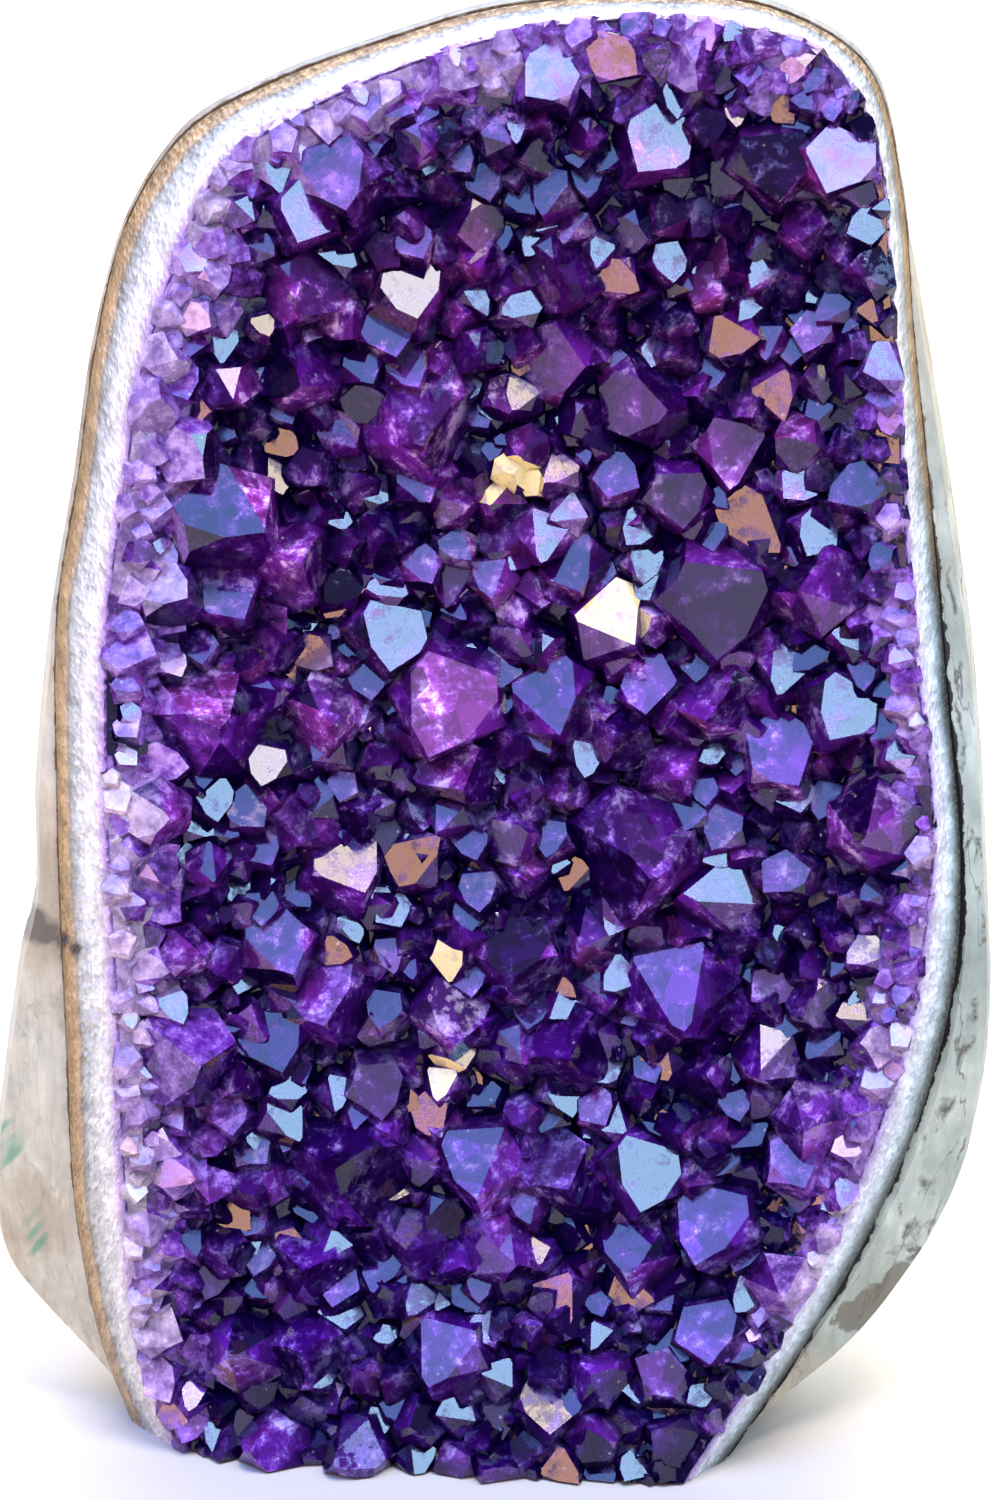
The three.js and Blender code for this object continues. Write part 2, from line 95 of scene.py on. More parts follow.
# Depths of the layers behind the front face
BAND_DROP = 4.5
AGATE_WIDTH = 1.8
LIP_INSET = 1.2                 # the lining's lip, just inside the crystals' edge
LIP_DROP = 0.9
CREST_OUT = 0.5                 # its crest, just outside that edge
LINING_LIP = 6.2
LINING_THICK = 7.0
LINING_SIDE = (4.0, 4.0)        # inset from the agate edge, and depth behind the lip
LINING_BACK = (3.5, 5.0)
BED_DEPTH = 13.0
BED_RIM_DEPTH = 0.8
BED_POWER = 4
BED_THICK = 6.0
BED_PROUD = 0.2
BODY_DEPTH_BASE = 86.0
BODY_DEPTH_TOP = 34.0
BODY_HEIGHT = 196.0
CLEARANCE = 0.3
GROOVE_WIDTH = 1.3              # the groove between the lining and the skin, lower right
GROOVE_ANGLE = math.radians(-38)
GROOVE_SPREAD = 0.55
RIND_SHOULDER = (1.0, 2.5, 1.6)  # wall, inset from the skin's outline, and depth
MOUTH_LIFT = 0.4
WIDEST_SHARE = 0.26
WIDEST_BEHIND_LIP = 7.0
BACK_PROFILE = [                # share of the outline, and share of the depth behind the widest
    (1.0, 0.0), (0.985, 0.22), (0.96, 0.4), (0.91, 0.56), (0.79, 0.73), (0.6, 0.87),
    (0.33, 0.965), (0.0, 1.0),
]
LUMP_HEIGHT = 3.0
LUMP_LENGTHS = (31.0, 19.0)
LUMP_PHASES = (1.1, 0.7)
LUMP_FINE_SHARE = 0.6
LUMP_FULL_SHARE = 1.25
PITS = [((-65, -14, 76), 3.4), ((66, 4, 60), 3.0), ((22, 33, 110), 4.2), ((-30, 38, 62), 5.0)]

# Where rings lie between the centre and the edge, and how finely each piece is divided
BED_SHARES = (0.2, 0.45, 0.7, 0.85, 0.95, 1.0)
BOWL_SHARES = (0.4, 0.7, 0.88, 0.94, 0.97)
POCKET_SHARES = (0.4, 0.7, 0.88, 0.97)
ROOM_SHARES = (1.0, 0.97, 0.88, 0.7, 0.4)
BED_RAYS = 96
ROOM_RAYS = 144
LINING_RAYS = 760
RIND_RAYS = 520
LIP_STEPS, BAND_STEPS, EDGE_STEPS = 3, 14, 6
SHOULDER_STEPS, SIDE_STEPS, BACK_STEPS = 5, 12, 65
BACK_REACH = (62, 50)           # the back's half width and depth, by which its rings are spaced

# The room that crystals keep to: how far it reaches ahead and aside, and under the bed
ROOM_AHEAD, ROOM_ASIDE, ROOM_UNDER = 60.0, 20.0, 1.2
ROOM_COLLAR = 1.5
ROOM_EDGE = 0.6

# Relief: its height and the size of its grain, and the least share of it on smooth parts
SUGAR_RELIEF = (0.6, 1.1)
SUGAR_LEAST = 0.12
SUGAR_STARTS = (0.6, 1.8)       # inwards from the agate edge, in widths of the agate line
FRONT_MARGINS = (0.1, 1.0)      # how far the band's front reaches back, and inwards
ROCK_RELIEF = (5.0, 15.0)
ROCK_LEAST = 0.05
ROCK_HIDDEN = 0.015             # on the skin's inner side
ROCK_STARTS = (4, 30)           # behind the widest ring, where the weathered back sets in
ROUGH_STARTS = (4, 26)          # and where its rough colour does
OUTSIDE_MARGINS = (0.6, 1.0)    # outwards from the agate edge, or behind the widest ring
RIND_SQUASH = (1.0, 1.0, 0.6)   # the skin's lumps are longer upwards than across
SHARP_FROM = math.radians(38)

# The lower right side is grey-green: it fades in rightwards over x, and downwards over -z
COOL_X = (8, 34)
COOL_DOWN = (-150, -112)
SEEN_EDGE = (-5, -1)            # marks fade in from 5 to 1 behind the widest ring

# Marks on the skin as the camera sees them, as (across, up, radius) from the picture's middle
STAINS = [
    (48.0, -76.0, 4.0), (51.0, -73.5, 4.0), (54.0, -70.5, 3.5), (57.0, -68.0, 2.5),
]
KNOB = [(-61.8, -23.0, 3.4), (-59.8, -24.4, 2.4), (-57.8, -25.3, 1.5), (-56.0, -26.5, 1.2)]
GREEN_STREAK = [
    (-65.4, -50.7, 1.2), (-65.0, -52.5, 1.4), (-64.4, -54.2, 1.0), (-63.8, -56.0, 0.6),
    (-63.2, -58.0, 0.5), (-62.7, -60.0, 0.5), (-62.1, -62.0, 0.5), (-61.5, -64.0, 0.5),
    (-60.9, -66.0, 0.5),
]

# Where yellow calcite grew on the crystals, as (x, z, radius)
CALCITE = [
    (2, 133, 5.0), (17, 116, 3.2), (-7, 70, 2.2), (-7.5, 54, 2.0), (-42, 25, 3.2), (13, 25, 2.4),
]

# The largest crystals as (x, z, width, lean to the right, lean upwards, soft box that a face
# mirrors), in mm and degrees
MAIN_CRYSTALS = [
    (19, 83, 17, 4, -10, ""), (24.5, 65, 15.5, 6, -24, "sky"), (30, 117, 17, 10, -16, "fill"),
    (-37, 128, 15, -8, 10, "sky"), (-10.5, 141, 15.5, 6, -8, ""), (38, 97, 11.5, 10, 18, "sky"),
    (46, 104, 11, 4, -28, "window"), (-43, 57, 13.5, -12, 6, ""), (-1.5, 41, 12, -4, -22, "sky"),
    (8, 40, 11.5, 8, -6, ""), (-20, 40.5, 16, -6, 8, ""), (-5, 16, 11, -14, -26, "sky"),
    (-25.5, 14.5, 10.5, 4, 4, ""), (8.5, 161, 11.5, 8, -12, ""), (36, 176, 11.5, 12, -22, ""),
    (44, 176, 10, 14, -18, "window"), (7, 186, 9.5, -4, 24, "window"), (-6, 105, 14, -6, -20, "fill"),
    (-28, 122, 12, 4, 4, ""), (-36, 118.5, 10, -6, -4, "sky"), (-15, 153, 10.5, 4, -14, ""),
    (-39, 102, 16, -14, 0, ""), (43, 49, 10, 12, -12, ""), (51, 89, 11, 16, -6, ""),
    (-12, 80, 8.5, -6, 16, "warm"), (-11.5, 158, 10, 8, -10, ""), (-20, 173, 12, -8, -10, ""),
    (-25, 169, 10, -6, 2, "window"), (10, 122, 8.5, -8, 20, "sky"), (6, 127, 9, 12, 10, "window"),
    (24, 133, 10, 10, -12, "fill"), (30, 152, 8.5, 4, 4, "warm"), (37, 147, 7.5, 6, -8, "warm"),
    (21, 106, 9, 0, -20, ""), (17, 98, 8.5, -4, 6, ""), (-5, 94, 11, 2, -12, ""),
    (-23, 102, 10.5, 4, -10, ""), (-15, 124.5, 8.5, -6, 0, ""), (-44, 119, 8.5, -10, 4, ""),
    (-46, 91, 8, -16, -4, ""), (-30, 71, 10, 6, -14, ""), (-6, 62, 10, 8, -20, ""),
    (-17, 53, 8.5, 10, -8, "fill"), (29, 20, 9.5, 8, -24, "sky"), (7, 8, 9.5, 6, -20, ""),
    (15, 12, 8, -4, 10, ""), (24, 12, 7.5, 8, 12, "fill"), (-10, 30, 9, -8, -4, ""),
    (40, 43, 8.5, 14, 6, "sky"), (9, 25, 8, -6, -14, "warm"), (14, 3.5, 7, 0, 20, ""),
    (-34, 14, 10, -10, 10, ""),
]
SEED = 20517
FILL_TRIES = 5200
FILL_WIDTHS = (12.0, 6.5)
FILL_SPACING = 0.44
FILL_LEAN = 20.0
FILL_DROOP = 0.25
FILL_RIM_START = 0.8
FILL_RIM_END = 0.975
RIM_SHRINK = 0.62
THREE_FACED_BELOW = 8.2
FACES, FEW_FACES = 6, 3
ROOT_SHARE = 0.77
HEIGHT_SHARES = (0.6, 0.15)     # a crystal's height over its root: the least, and the spread
RADIUS_SHARE = 0.66
CRYSTAL_TAPER = 0.92
CAP_ANGLE = math.radians(51.8)  # how steep a quartz tip's faces are
CAP_SLOPE = math.tan(CAP_ANGLE)
CAP_LARGE_DROP = 0.16
CAP_SMALL_LIFT = 0.08
CAP_SPREAD = 0.2
CRYSTAL_FLOOR_Z = 0.4           # they are sawn off a little above the base
FLOOR_BOX = 300.0               # half the side of the box that saws them off

# The kinds of crystal that the crust is grown from, each of width 1
CRYSTAL_KINDS = 28
KIND_LENGTH = 2.8
KIND_TWIST = 0.05
KIND_SIDES = (0.86, 1.06)
KIND_CAPS = 0.7
KIND_LEAN_SHARE = 0.25
SAME_POINT = 1e-4
ON_PLANE = 1e-6
FLAT_ANGLE = math.radians(0.5)

# Small crystals between the large ones, finer than the solids hold
SMALL_TRIES = 30000
SMALL_WIDTHS = (6.5, 2.0)
SMALL_SPACING = 0.31
SMALL_LEAN = 26.0
SMALL_LOWEST = -1
SMALL_RIM = (0.86, 1.0)         # between these shares of the bowl they shrink
SMALL_LOSS = 0.3                # by this share
SMALL_END = 0.995
SMALL_ROOT = 2.0                # how far in front of the bowl they start
SMALL_RISE = 4.5                # up to this much farther, at random
SMALL_RISE_ENDS = (0.65, 0.92)  # and the rise dies away between these shares of the bowl
SHRUNK_SHARE = 0.6              # how many of the solids' filling crystals are smaller here
SHRUNK_TO = 0.6
GROWN_BED = 2.4                 # the bed between the roots, thinner than the solids' one
TIP_MARGIN = 0.7                # how far behind the front of the solids' box the tips stay
CHIP_POINTS = 60                # a loose part with fewer points than this is a chip

# The pale rim, by share of the bowl
PALE_SPREAD = 0.035             # how unevenly the crystals pale towards it
PALE_LEFTWARDS = 0.0009         # how much wider it is on the left, per millimetre
PALE_LOW = (-34.0, -8.0)        # minus the heights between which it ends at the base
PALE_LOW_LOSS = 0.12
PALE_HIGH = (125.0, 165.0)      # the heights between which it narrows towards the top
PALE_HIGH_LOSS = 0.045
CALCITE_HEIGHT = 0.45           # calcite sits only on faces that stand this far out of the bowl

# How strongly each stone bends light
QUARTZ_IOR = 1.544
STONE_IOR = 1.5

# The camera stands where the photographer stood
CAMERA_TARGET = (0.0, -20.0, 97.6)
CAMERA_ELEVATION = math.radians(14)
CAMERA_DISTANCE = 560.0
FRAME_HEIGHT = 200.0
SENSOR = 36.0

# Soft boxes round the piece in metres, and the share of crystals with a face that mirrors each
MIDDLE = (0.0, 0.0, 0.1)
SOFT_BOXES = {
    "sky": dict(place=(-0.45, -0.75, 1.35), size=(1.3, 1.0), power=27, colour="#7ba6ff"),
    "window": dict(place=(0.75, -0.9, 1.1), size=(0.45, 0.4), power=9, colour="#a9d4ff"),
    "warm": dict(place=(-0.75, -1.0, 0.3), size=(0.35, 0.35), power=3.6, colour="#ffc098"),
    "fill": dict(place=(0.5, -2.0, 1.2), size=(0.9, 0.8), power=4.5, colour="#d6ccff"),
}
BOX_SHARES = {"none": 0.64, "sky": 0.18, "window": 0.12, "warm": 0.03, "fill": 0.03}
BACKDROP = dict(
    place=(0.0, 1.9, 1.6), size=(3.0, 2.6), power=150, colour="#ffffff", aim=(0.0, 2.2, 0.0),
)
OVERHEAD_POWER = 2.0
OVERHEAD_SPREAD = math.radians(24)
OVERHEAD_TURN = (math.radians(22), math.radians(10), 0)
FLOOR_SIDE = 12.0


# Shapes

def plane_y(z):
    """Y of the plane that the front face follows"""
    return FACE_FRONT_Y + math.tan(FACE_LEAN) * z


def face_y(x, z):
    """Y of the ground front face, which bends back from its nose"""
    rise = np.maximum(0, 1 - np.maximum(z, 0) / NOSE_TOP_Z) ** 2
    bend = np.where(x < NOSE_X, NOSE_BEND_LEFT, NOSE_BEND_RIGHT)
    return plane_y(z) + bend * (x - NOSE_X) ** 2 * rise


def body_depth(z):
    share = np.clip(z / BODY_HEIGHT, 0, 1)
    return BODY_DEPTH_BASE + (BODY_DEPTH_TOP - BODY_DEPTH_BASE) * share


def widest_y(x, z):
    return np.maximum(
        plane_y(z) + WIDEST_SHARE * body_depth(z),
        face_y(x, z) + LINING_LIP + WIDEST_BEHIND_LIP,
    )


def back_y(z):
    return plane_y(z) + body_depth(z)


def smooth_outline(points, steps=24):
    """A closed smooth curve through an outline, seen from the centre"""
    here = np.array(points, float) - CENTRE
    before, after, later = np.roll(here, 1, 0), np.roll(here, -1, 0), np.roll(here, -2, 0)
    pairs = ((before, here), (here, after), (after, later))
    d0, d1, d2 = (np.sqrt(np.linalg.norm(b - a, axis=1))[:, None] for a, b in pairs)
    leave = ((here - before) / d0 - (after - before) / (d0 + d1) + (after - here) / d1) * d1
    arrive = ((after - here) / d1 - (later - here) / (d1 + d2) + (later - after) / d2) * d1
    t = np.linspace(0, 1, steps, endpoint=False)[:, None, None]
    square = -3 * here + 3 * after - 2 * leave - arrive
    cube = 2 * here - 2 * after + leave + arrive
    curve = here + leave * t + square * t ** 2 + cube * t ** 3
    return curve.transpose(1, 0, 2).reshape(-1, 2)


def radius_of(outline):
    """A function from an angle to the outline's distance from the centre"""
    curve = smooth_outline(outline)
    angles = np.arctan2(curve[:, 1], curve[:, 0])
    radii = np.linalg.norm(curve, axis=1)
    return lambda angle: np.interp(angle, angles, radii, period=2 * math.pi)


crystal_radius = radius_of(CRYSTAL_EDGE)
agate_radius = radius_of(AGATE_EDGE)
skin_radius = radius_of(SKIN_OUTLINE)


def arc_table(steps=2000):
    """Angles from straight down, once round, and the way along the agate edge to each"""
    angles = np.linspace(-math.pi / 2, 1.5 * math.pi, steps + 1)
    radii = agate_radius(angles)
    x, z = radii * np.cos(angles), radii * np.sin(angles)
    way = np.concatenate([[0], np.cumsum(np.hypot(np.diff(x), np.diff(z)))])
    return angles, way


ARC_ANGLES, ARC_WAY = arc_table()


def along_edge(angle):
    """Millimetres along the agate edge from its lowest point"""
    return np.interp((angle + math.pi / 2) % (2 * math.pi) - math.pi / 2, ARC_ANGLES, ARC_WAY)


def rays(count):
    """Angles that are evenly spaced along the agate edge"""
    return np.interp(np.linspace(0, ARC_WAY[-1], count, endpoint=False), ARC_WAY, ARC_ANGLES)


def polar(x, z):
    """Angle and distance of a place on the front face, seen from the centre"""
    return np.arctan2(z - CENTRE[1], x - CENTRE[0]), np.hypot(x - CENTRE[0], z - CENTRE[1])


def bed_drop(share):
    return BED_DEPTH * (1 - np.minimum(share, 1) ** BED_POWER) + BED_RIM_DEPTH


def bed_thick(share):
    return np.minimum(BED_THICK, bed_drop(share) + BED_PROUD)


def share_of_bowl(x, z):
    """0 at the bowl's centre and 1 at the crystals' edge"""
    angle, radius = polar(x, z)
    return radius / crystal_radius(angle)


def bed_y(x, z):
    return face_y(x, z) + bed_drop(share_of_bowl(x, z))


def groove_share(angle):
    off = np.arctan2(np.sin(angle - GROOVE_ANGLE), np.cos(angle - GROOVE_ANGLE))
    return np.exp(-((off / GROOVE_SPREAD) ** 2))


def smoothstep(value, start, end):
    t = np.clip((value - start) / (end - start), 0, 1)
    return t * t * (3 - 2 * t)


def ring_points(angles, radius, depth_at, grow=0.0):
    """One ring of points at each ray's radius and the depth there, then grown outwards"""
    x, z = CENTRE[0] + radius * np.cos(angles), CENTRE[1] + radius * np.sin(angles)
    y = depth_at(x, z) * np.ones_like(angles)
    x, z = x + grow * np.cos(angles), z + grow * np.sin(angles)
    return np.stack([x, y, z], axis=1)


def face_ring(angles, radius, behind, grow=0.0):
    """One ring of points at some depth behind the front face"""
    return ring_points(angles, radius, lambda x, z: face_y(x, z) + behind, grow)


def shell_mesh(name, first_y, rings, last_y):
    """A closed mesh from a pole at the centre, over rings from front to back, to a last pole"""
    count = len(rings[0])
    first, last = ([[CENTRE[0], y, CENTRE[1]]] for y in (first_y, last_y))
    points = np.concatenate([first, *rings, last])
    start = 1 + np.arange(len(rings))[:, None] * count + np.arange(count)
    after = np.roll(start, -1, axis=1)
    quads = np.stack([start[:-1], start[1:], after[1:], after[:-1]], axis=-1).reshape(-1, 4)
    front = np.stack([np.zeros(count, int), start[0], after[0]], axis=-1)
    back = np.stack([np.full(count, len(points) - 1), after[-1], start[-1]], axis=-1)
    mesh = bpy.data.meshes.new(name)
    mesh.from_pydata(to_frame(points), [], front.tolist() + quads.tolist() + back.tolist())
    return mesh


def to_frame(points):
    """Millimetres round the piece's own origin, as metres in the frame"""
    return (points + np.array([*MODEL_SHIFT, 0])) * MM


def from_frame(points):
    """Metres in the frame as millimetres round the piece's own origin"""
    return points / MM - np.array([*MODEL_SHIFT, 0])


def places(mesh):
    """A mesh's points in millimetres round the piece's own origin"""
    points = np.zeros(len(mesh.vertices) * 3)
    mesh.vertices.foreach_get("co", points)
    return from_frame(points.reshape(-1, 3))


def mark(mesh, name, values, kind="FLOAT", domain="POINT"):
    """Stores a value on each point or face of a mesh, in the place of any earlier one"""
    if name in mesh.attributes:
        mesh.attributes.remove(mesh.attributes[name])
    layer = mesh.attributes.new(name, kind, domain)
    field = "vector" if kind == "FLOAT_VECTOR" else "value"
    layer.data.foreach_set(field, np.ascontiguousarray(values, np.float32).ravel())


def new_object(name, mesh):
    thing = bpy.data.objects.new(name, mesh)
    bpy.context.scene.collection.objects.link(thing)
    return thing


# Node trees

def add_node(tree, kind, *values, **settings):
    """Adds a shader node, or of another kind where its name says so, with its settings. Values
    go to the sockets in use, in their order, or by name where a dictionary gives them. Each is
    a plain value, a hex colour, another node's first output in use, or a given output."""
    node = tree.nodes.new(kind if "Node" in kind else "ShaderNode" + kind)
    for name, value in settings.items():
        setattr(node, name, value)
    in_use = [socket for socket in node.inputs if socket.enabled]
    given = list(zip(in_use, values))
    if values and isinstance(values[0], dict):
        given = [(node.inputs[name], value) for name, value in values[0].items()]
    for socket, value in given:
        if isinstance(value, bpy.types.Node):
            value = next(output for output in value.outputs if output.enabled)
        if isinstance(value, bpy.types.NodeSocket):
            tree.links.new(value, socket)
        else:
            is_colour = isinstance(value, str) and value.startswith("#")
            socket.default_value = linear(value) if is_colour else value
    return node


def geometry_tree(name, **inputs):
    """A Geometry Nodes tree with its named inputs, each given as its kind of socket"""
    tree = bpy.data.node_groups.new(name, "GeometryNodeTree")
    tree.interface.new_socket("Geometry", in_out="INPUT", socket_type="NodeSocketGeometry")
    for label, kind in inputs.items():
        tree.interface.new_socket(label, in_out="INPUT", socket_type="NodeSocket" + kind)
    tree.interface.new_socket("Geometry", in_out="OUTPUT", socket_type="NodeSocketGeometry")
    return tree, tree.nodes.new("NodeGroupInput").outputs, partial(add_node, tree)


def finish_tree(add, geometry, material):
    solid = add("GeometryNodeRealizeInstances", geometry)
    painted = add("GeometryNodeSetMaterial", {"Geometry": solid, "Material": material})
    add("NodeGroupOutput", painted)


def grown(name, mesh, tree, values):
    """The plain mesh that a tree makes of a mesh, with the tree's named inputs set"""
    source = new_object(name + "_source", mesh)
    modifier = source.modifiers.new("tree", "NODES")
    modifier.node_group = tree
    for socket in tree.interface.items_tree:
        if socket.in_out == "INPUT" and socket.name in values:
            modifier[socket.identifier] = values[socket.name]
    view = bpy.context.evaluated_depsgraph_get()
    made = bpy.data.meshes.new_from_object(source.evaluated_get(view))
    made.name = name
    bpy.data.objects.remove(source)
    return made


# The crystals

def plain_random(seed):
    """A repeatable source of numbers from 0 to 1"""
    state = seed
    while True:
        state = (state * 1664525 + 1013904223) % 2 ** 32
        yield state / 2 ** 32


def crystal_layout(draw):
    """The large crystals, and those that fill the bowl between them"""
    names = ("x", "z", "width", "right", "up", "box")
    placed = [dict(zip(names, row)) for row in MAIN_CRYSTALS]
    west, east = min(x for x, _ in CRYSTAL_EDGE), max(x for x, _ in CRYSTAL_EDGE)
    spots = np.array([(c["x"], c["z"], c["width"]) for c in placed], float)
    for attempt in range(FILL_TRIES):
        x = west + (east - west) * next(draw)
        z = BODY_HEIGHT * next(draw)
        share = float(share_of_bowl(x, z))
        plain = FILL_WIDTHS[0] + (FILL_WIDTHS[1] - FILL_WIDTHS[0]) * attempt / FILL_TRIES
        width = plain * (1 - (1 - RIM_SHRINK) * float(smoothstep(share, FILL_RIM_START, 1)))
        apart = np.hypot(x - spots[:, 0], z - spots[:, 1])
        if share < FILL_RIM_END and np.all(apart > FILL_SPACING * (width + spots[:, 2])):
            right = FILL_LEAN * (2 * next(draw) - 1)
            up = FILL_LEAN * (2 * next(draw) - 1 - FILL_DROOP)
            placed.append(dict(x=x, z=z, width=width, right=right, up=up))
            spots = np.vstack([spots, (x, z, width)])
    return placed, spots


def small_crystals(spots, chance):
    """Smaller crystals in what room is left, down to the grains between the large ones"""
    west, east = min(x for x, _ in AGATE_EDGE), max(x for x, _ in AGATE_EDGE)
    made = []
    for attempt in range(SMALL_TRIES):
        x, z = chance.uniform(west, east), chance.uniform(SMALL_LOWEST, BODY_HEIGHT)
        share = float(share_of_bowl(x, z))
        plain = SMALL_WIDTHS[0] + (SMALL_WIDTHS[1] - SMALL_WIDTHS[0]) * attempt / SMALL_TRIES
        width = plain * (1 - SMALL_LOSS * float(smoothstep(share, *SMALL_RIM)))
        apart = np.hypot(x - spots[:, 0], z - spots[:, 1])
        if share < SMALL_END and np.all(apart > SMALL_SPACING * (width + spots[:, 2])):
            right, up = chance.uniform(-SMALL_LEAN, SMALL_LEAN, 2)
            made.append(dict(x=x, z=z, width=width, right=right, up=up))
            spots = np.vstack([spots, (x, z, width)])
    return made


def crystal_aim(x, z, lean_right, lean_up):
    """The way a crystal points: out of the bowl, leaning to one side and up or down"""
    step = 0.5
    slope_x = float(bed_y(x + step, z) - bed_y(x - step, z)) / (2 * step)
    slope_z = float(bed_y(x, z + step) - bed_y(x, z - step)) / (2 * step)
    way = Vector((slope_x, -1.0, slope_z)).normalized()
    lean = Vector((math.tan(math.radians(lean_right)), 0, math.tan(math.radians(lean_up))))
    return (way + lean).normalized()


def towards(box, x, z):
    """The way that a face must look to mirror a soft box to the camera, from a place"""
    here = Vector(to_frame(np.array([x, float(face_y(x, z)), z])))
    to_camera = (camera_place() - here).normalized()
    to_box = (Vector(SOFT_BOXES[box]["place"]) - here).normalized()
    return (to_camera + to_box).normalized()


def shining_turn(aim, wanted):
    """Turns a crystal a little, so that one of its tip's large faces looks the wanted way"""
    aside = (aim - wanted * aim.dot(wanted)).normalized()
    axis = wanted * math.cos(CAP_ANGLE) + aside * math.sin(CAP_ANGLE)
    turn = Vector((0, 0, 1)).rotation_difference(axis)
    face = turn.inverted() @ wanted
    spin = math.atan2(face.y, face.x) - (math.pi / 2 - math.pi / 6)
    return axis, turn @ Quaternion((0, 0, 1), spin)


def crystal_kind(number):
    """One crystal of width 1 with its tip at the origin, cut from sloping planes"""
    chance = np.random.default_rng(SEED + number)
    apothem = RADIUS_SHARE * math.cos(math.pi / 6)
    planes = [((0.0, 0.0, -1.0), KIND_LENGTH)]
    lean_in = (1 - CRYSTAL_TAPER) * KIND_LEAN_SHARE
    for side in range(6):
        angle = (side + 0.5) * math.pi / 3 + chance.uniform(-KIND_TWIST, KIND_TWIST)
        out = np.array([math.sin(angle), math.cos(angle), 0.0])
        planes.append((out + np.array([0, 0, -lean_in]), apothem * chance.uniform(*KIND_SIDES)))
        level = -CAP_LARGE_DROP if side % 2 == 0 else CAP_SMALL_LIFT
        level = apothem * CAP_SLOPE * (level + CAP_SPREAD * chance.uniform(-KIND_CAPS, KIND_CAPS))
        planes.append((out * CAP_SLOPE + np.array([0, 0, 1.0]), level))
    return convex_mesh("crystal_kind_%02d" % number, planes, chance)


def convex_mesh(name, planes, chance):
    """The closed mesh inside planes that are given as (outward, offset)"""
    outward = np.array([plane[0] for plane in planes])
    length = np.linalg.norm(outward, axis=1)
    offset = np.array([plane[1] for plane in planes]) / length
    outward = outward / length[:, None]
    shape = bmesh.new()
    for three in map(list, itertools.combinations(range(len(planes)), 3)):
        if abs(np.linalg.det(outward[three])) > SAME_POINT:
            corner = np.linalg.solve(outward[three], offset[three])
            if np.all(outward @ corner <= offset + ON_PLANE):
                shape.verts.new(corner)
    bmesh.ops.remove_doubles(shape, verts=shape.verts, dist=SAME_POINT)
    hull = bmesh.ops.convex_hull(shape, input=shape.verts)
    spare = [
        part for part in hull["geom_interior"] + hull["geom_unused"]
        if isinstance(part, bmesh.types.BMVert)
    ]
    bmesh.ops.delete(shape, geom=spare, context="VERTS")
    bmesh.ops.dissolve_limit(shape, angle_limit=FLAT_ANGLE, verts=shape.verts, edges=shape.edges)
    bmesh.ops.recalc_face_normals(shape, faces=shape.faces)
    mesh = bpy.data.meshes.new(name)
    shape.to_mesh(mesh)
    shape.free()
    mark(mesh, "facet", chance.random(len(mesh.polygons)), domain="FACE")
    return mesh


def crystal_points():
    """One point at each crystal's tip, with its size and turn"""
    draw = plain_random(SEED)
    chance = np.random.default_rng(SEED)
    placed, spots = crystal_layout(draw)
    for number in range(len(MAIN_CRYSTALS), len(placed)):
        if chance.random() < SHRUNK_SHARE:
            placed[number]["grown"] = SHRUNK_TO
            spots[number, 2] *= SHRUNK_TO
    foremost = CAD_BOX[0][1] / MM - MODEL_SHIFT[1] + TIP_MARGIN
    least, spread = HEIGHT_SHARES
    tips, turns, widths = [], [], []
    for crystal in placed + small_crystals(spots, chance):
        x, z, width = crystal["x"], crystal["z"], crystal["width"]
        share = share_of_bowl(x, z)
        root = ROOT_SHARE * float(bed_thick(share))
        if len(tips) < len(placed):
            tall, spin = next(draw), next(draw)
            # The solids draw once more for each face of a tip
            for _ in range(FEW_FACES if width < THREE_FACED_BELOW else FACES):
                next(draw)
        else:
            tall, spin = chance.random(2)
            rise = SMALL_RISE * (1 - smoothstep(share, *SMALL_RISE_ENDS))
            root = min(root, SMALL_ROOT + rise * chance.random())
        width *= crystal.get("grown", 1.0)
        height = root + width * (least + spread * tall)
        aim = crystal_aim(x, z, crystal["right"], crystal["up"])
        turn = Vector((0, 0, 1)).rotation_difference(aim) @ Quaternion((0, 0, 1), spin * math.pi)
        if "box" not in crystal:
            crystal["box"] = chance.choice(list(BOX_SHARES), p=list(BOX_SHARES.values()))
        if crystal["box"] in SOFT_BOXES:
            aim, turn = shining_turn(aim, towards(crystal["box"], x, z))
        tip = np.array([x, float(bed_y(x, z)), z]) + np.array(aim) * height
        tip[1] = max(tip[1], foremost)
        tips.append(tip)
        turns.append(tuple(turn))
        widths.append(width * MM)
    mesh = bpy.data.meshes.new("crystal_tips")
    mesh.from_pydata(to_frame(np.array(tips)), [], [])
    mark(mesh, "width", widths)
    mark(mesh, "turn", turns, kind="QUATERNION")
    return mesh, np.array(tips), np.array(widths) / MM


def nearest_crystals(points, tips, widths, batch=2000):
    """For each point the crystal it belongs to, and how far below that crystal's tip it lies,
    as a share of the crystal's width"""
    owner, below = [], []
    for start in range(0, len(points), batch):
        part = points[start:start + batch]
        square = (part ** 2).sum(1)[:, None] + (tips ** 2).sum(1) - 2 * part @ tips.T
        apart = np.sqrt(np.maximum(square, 0)) / widths
        owner.append(apart.argmin(axis=1))
        below.append(apart.min(axis=1))
    return np.concatenate(owner), np.concatenate(below)


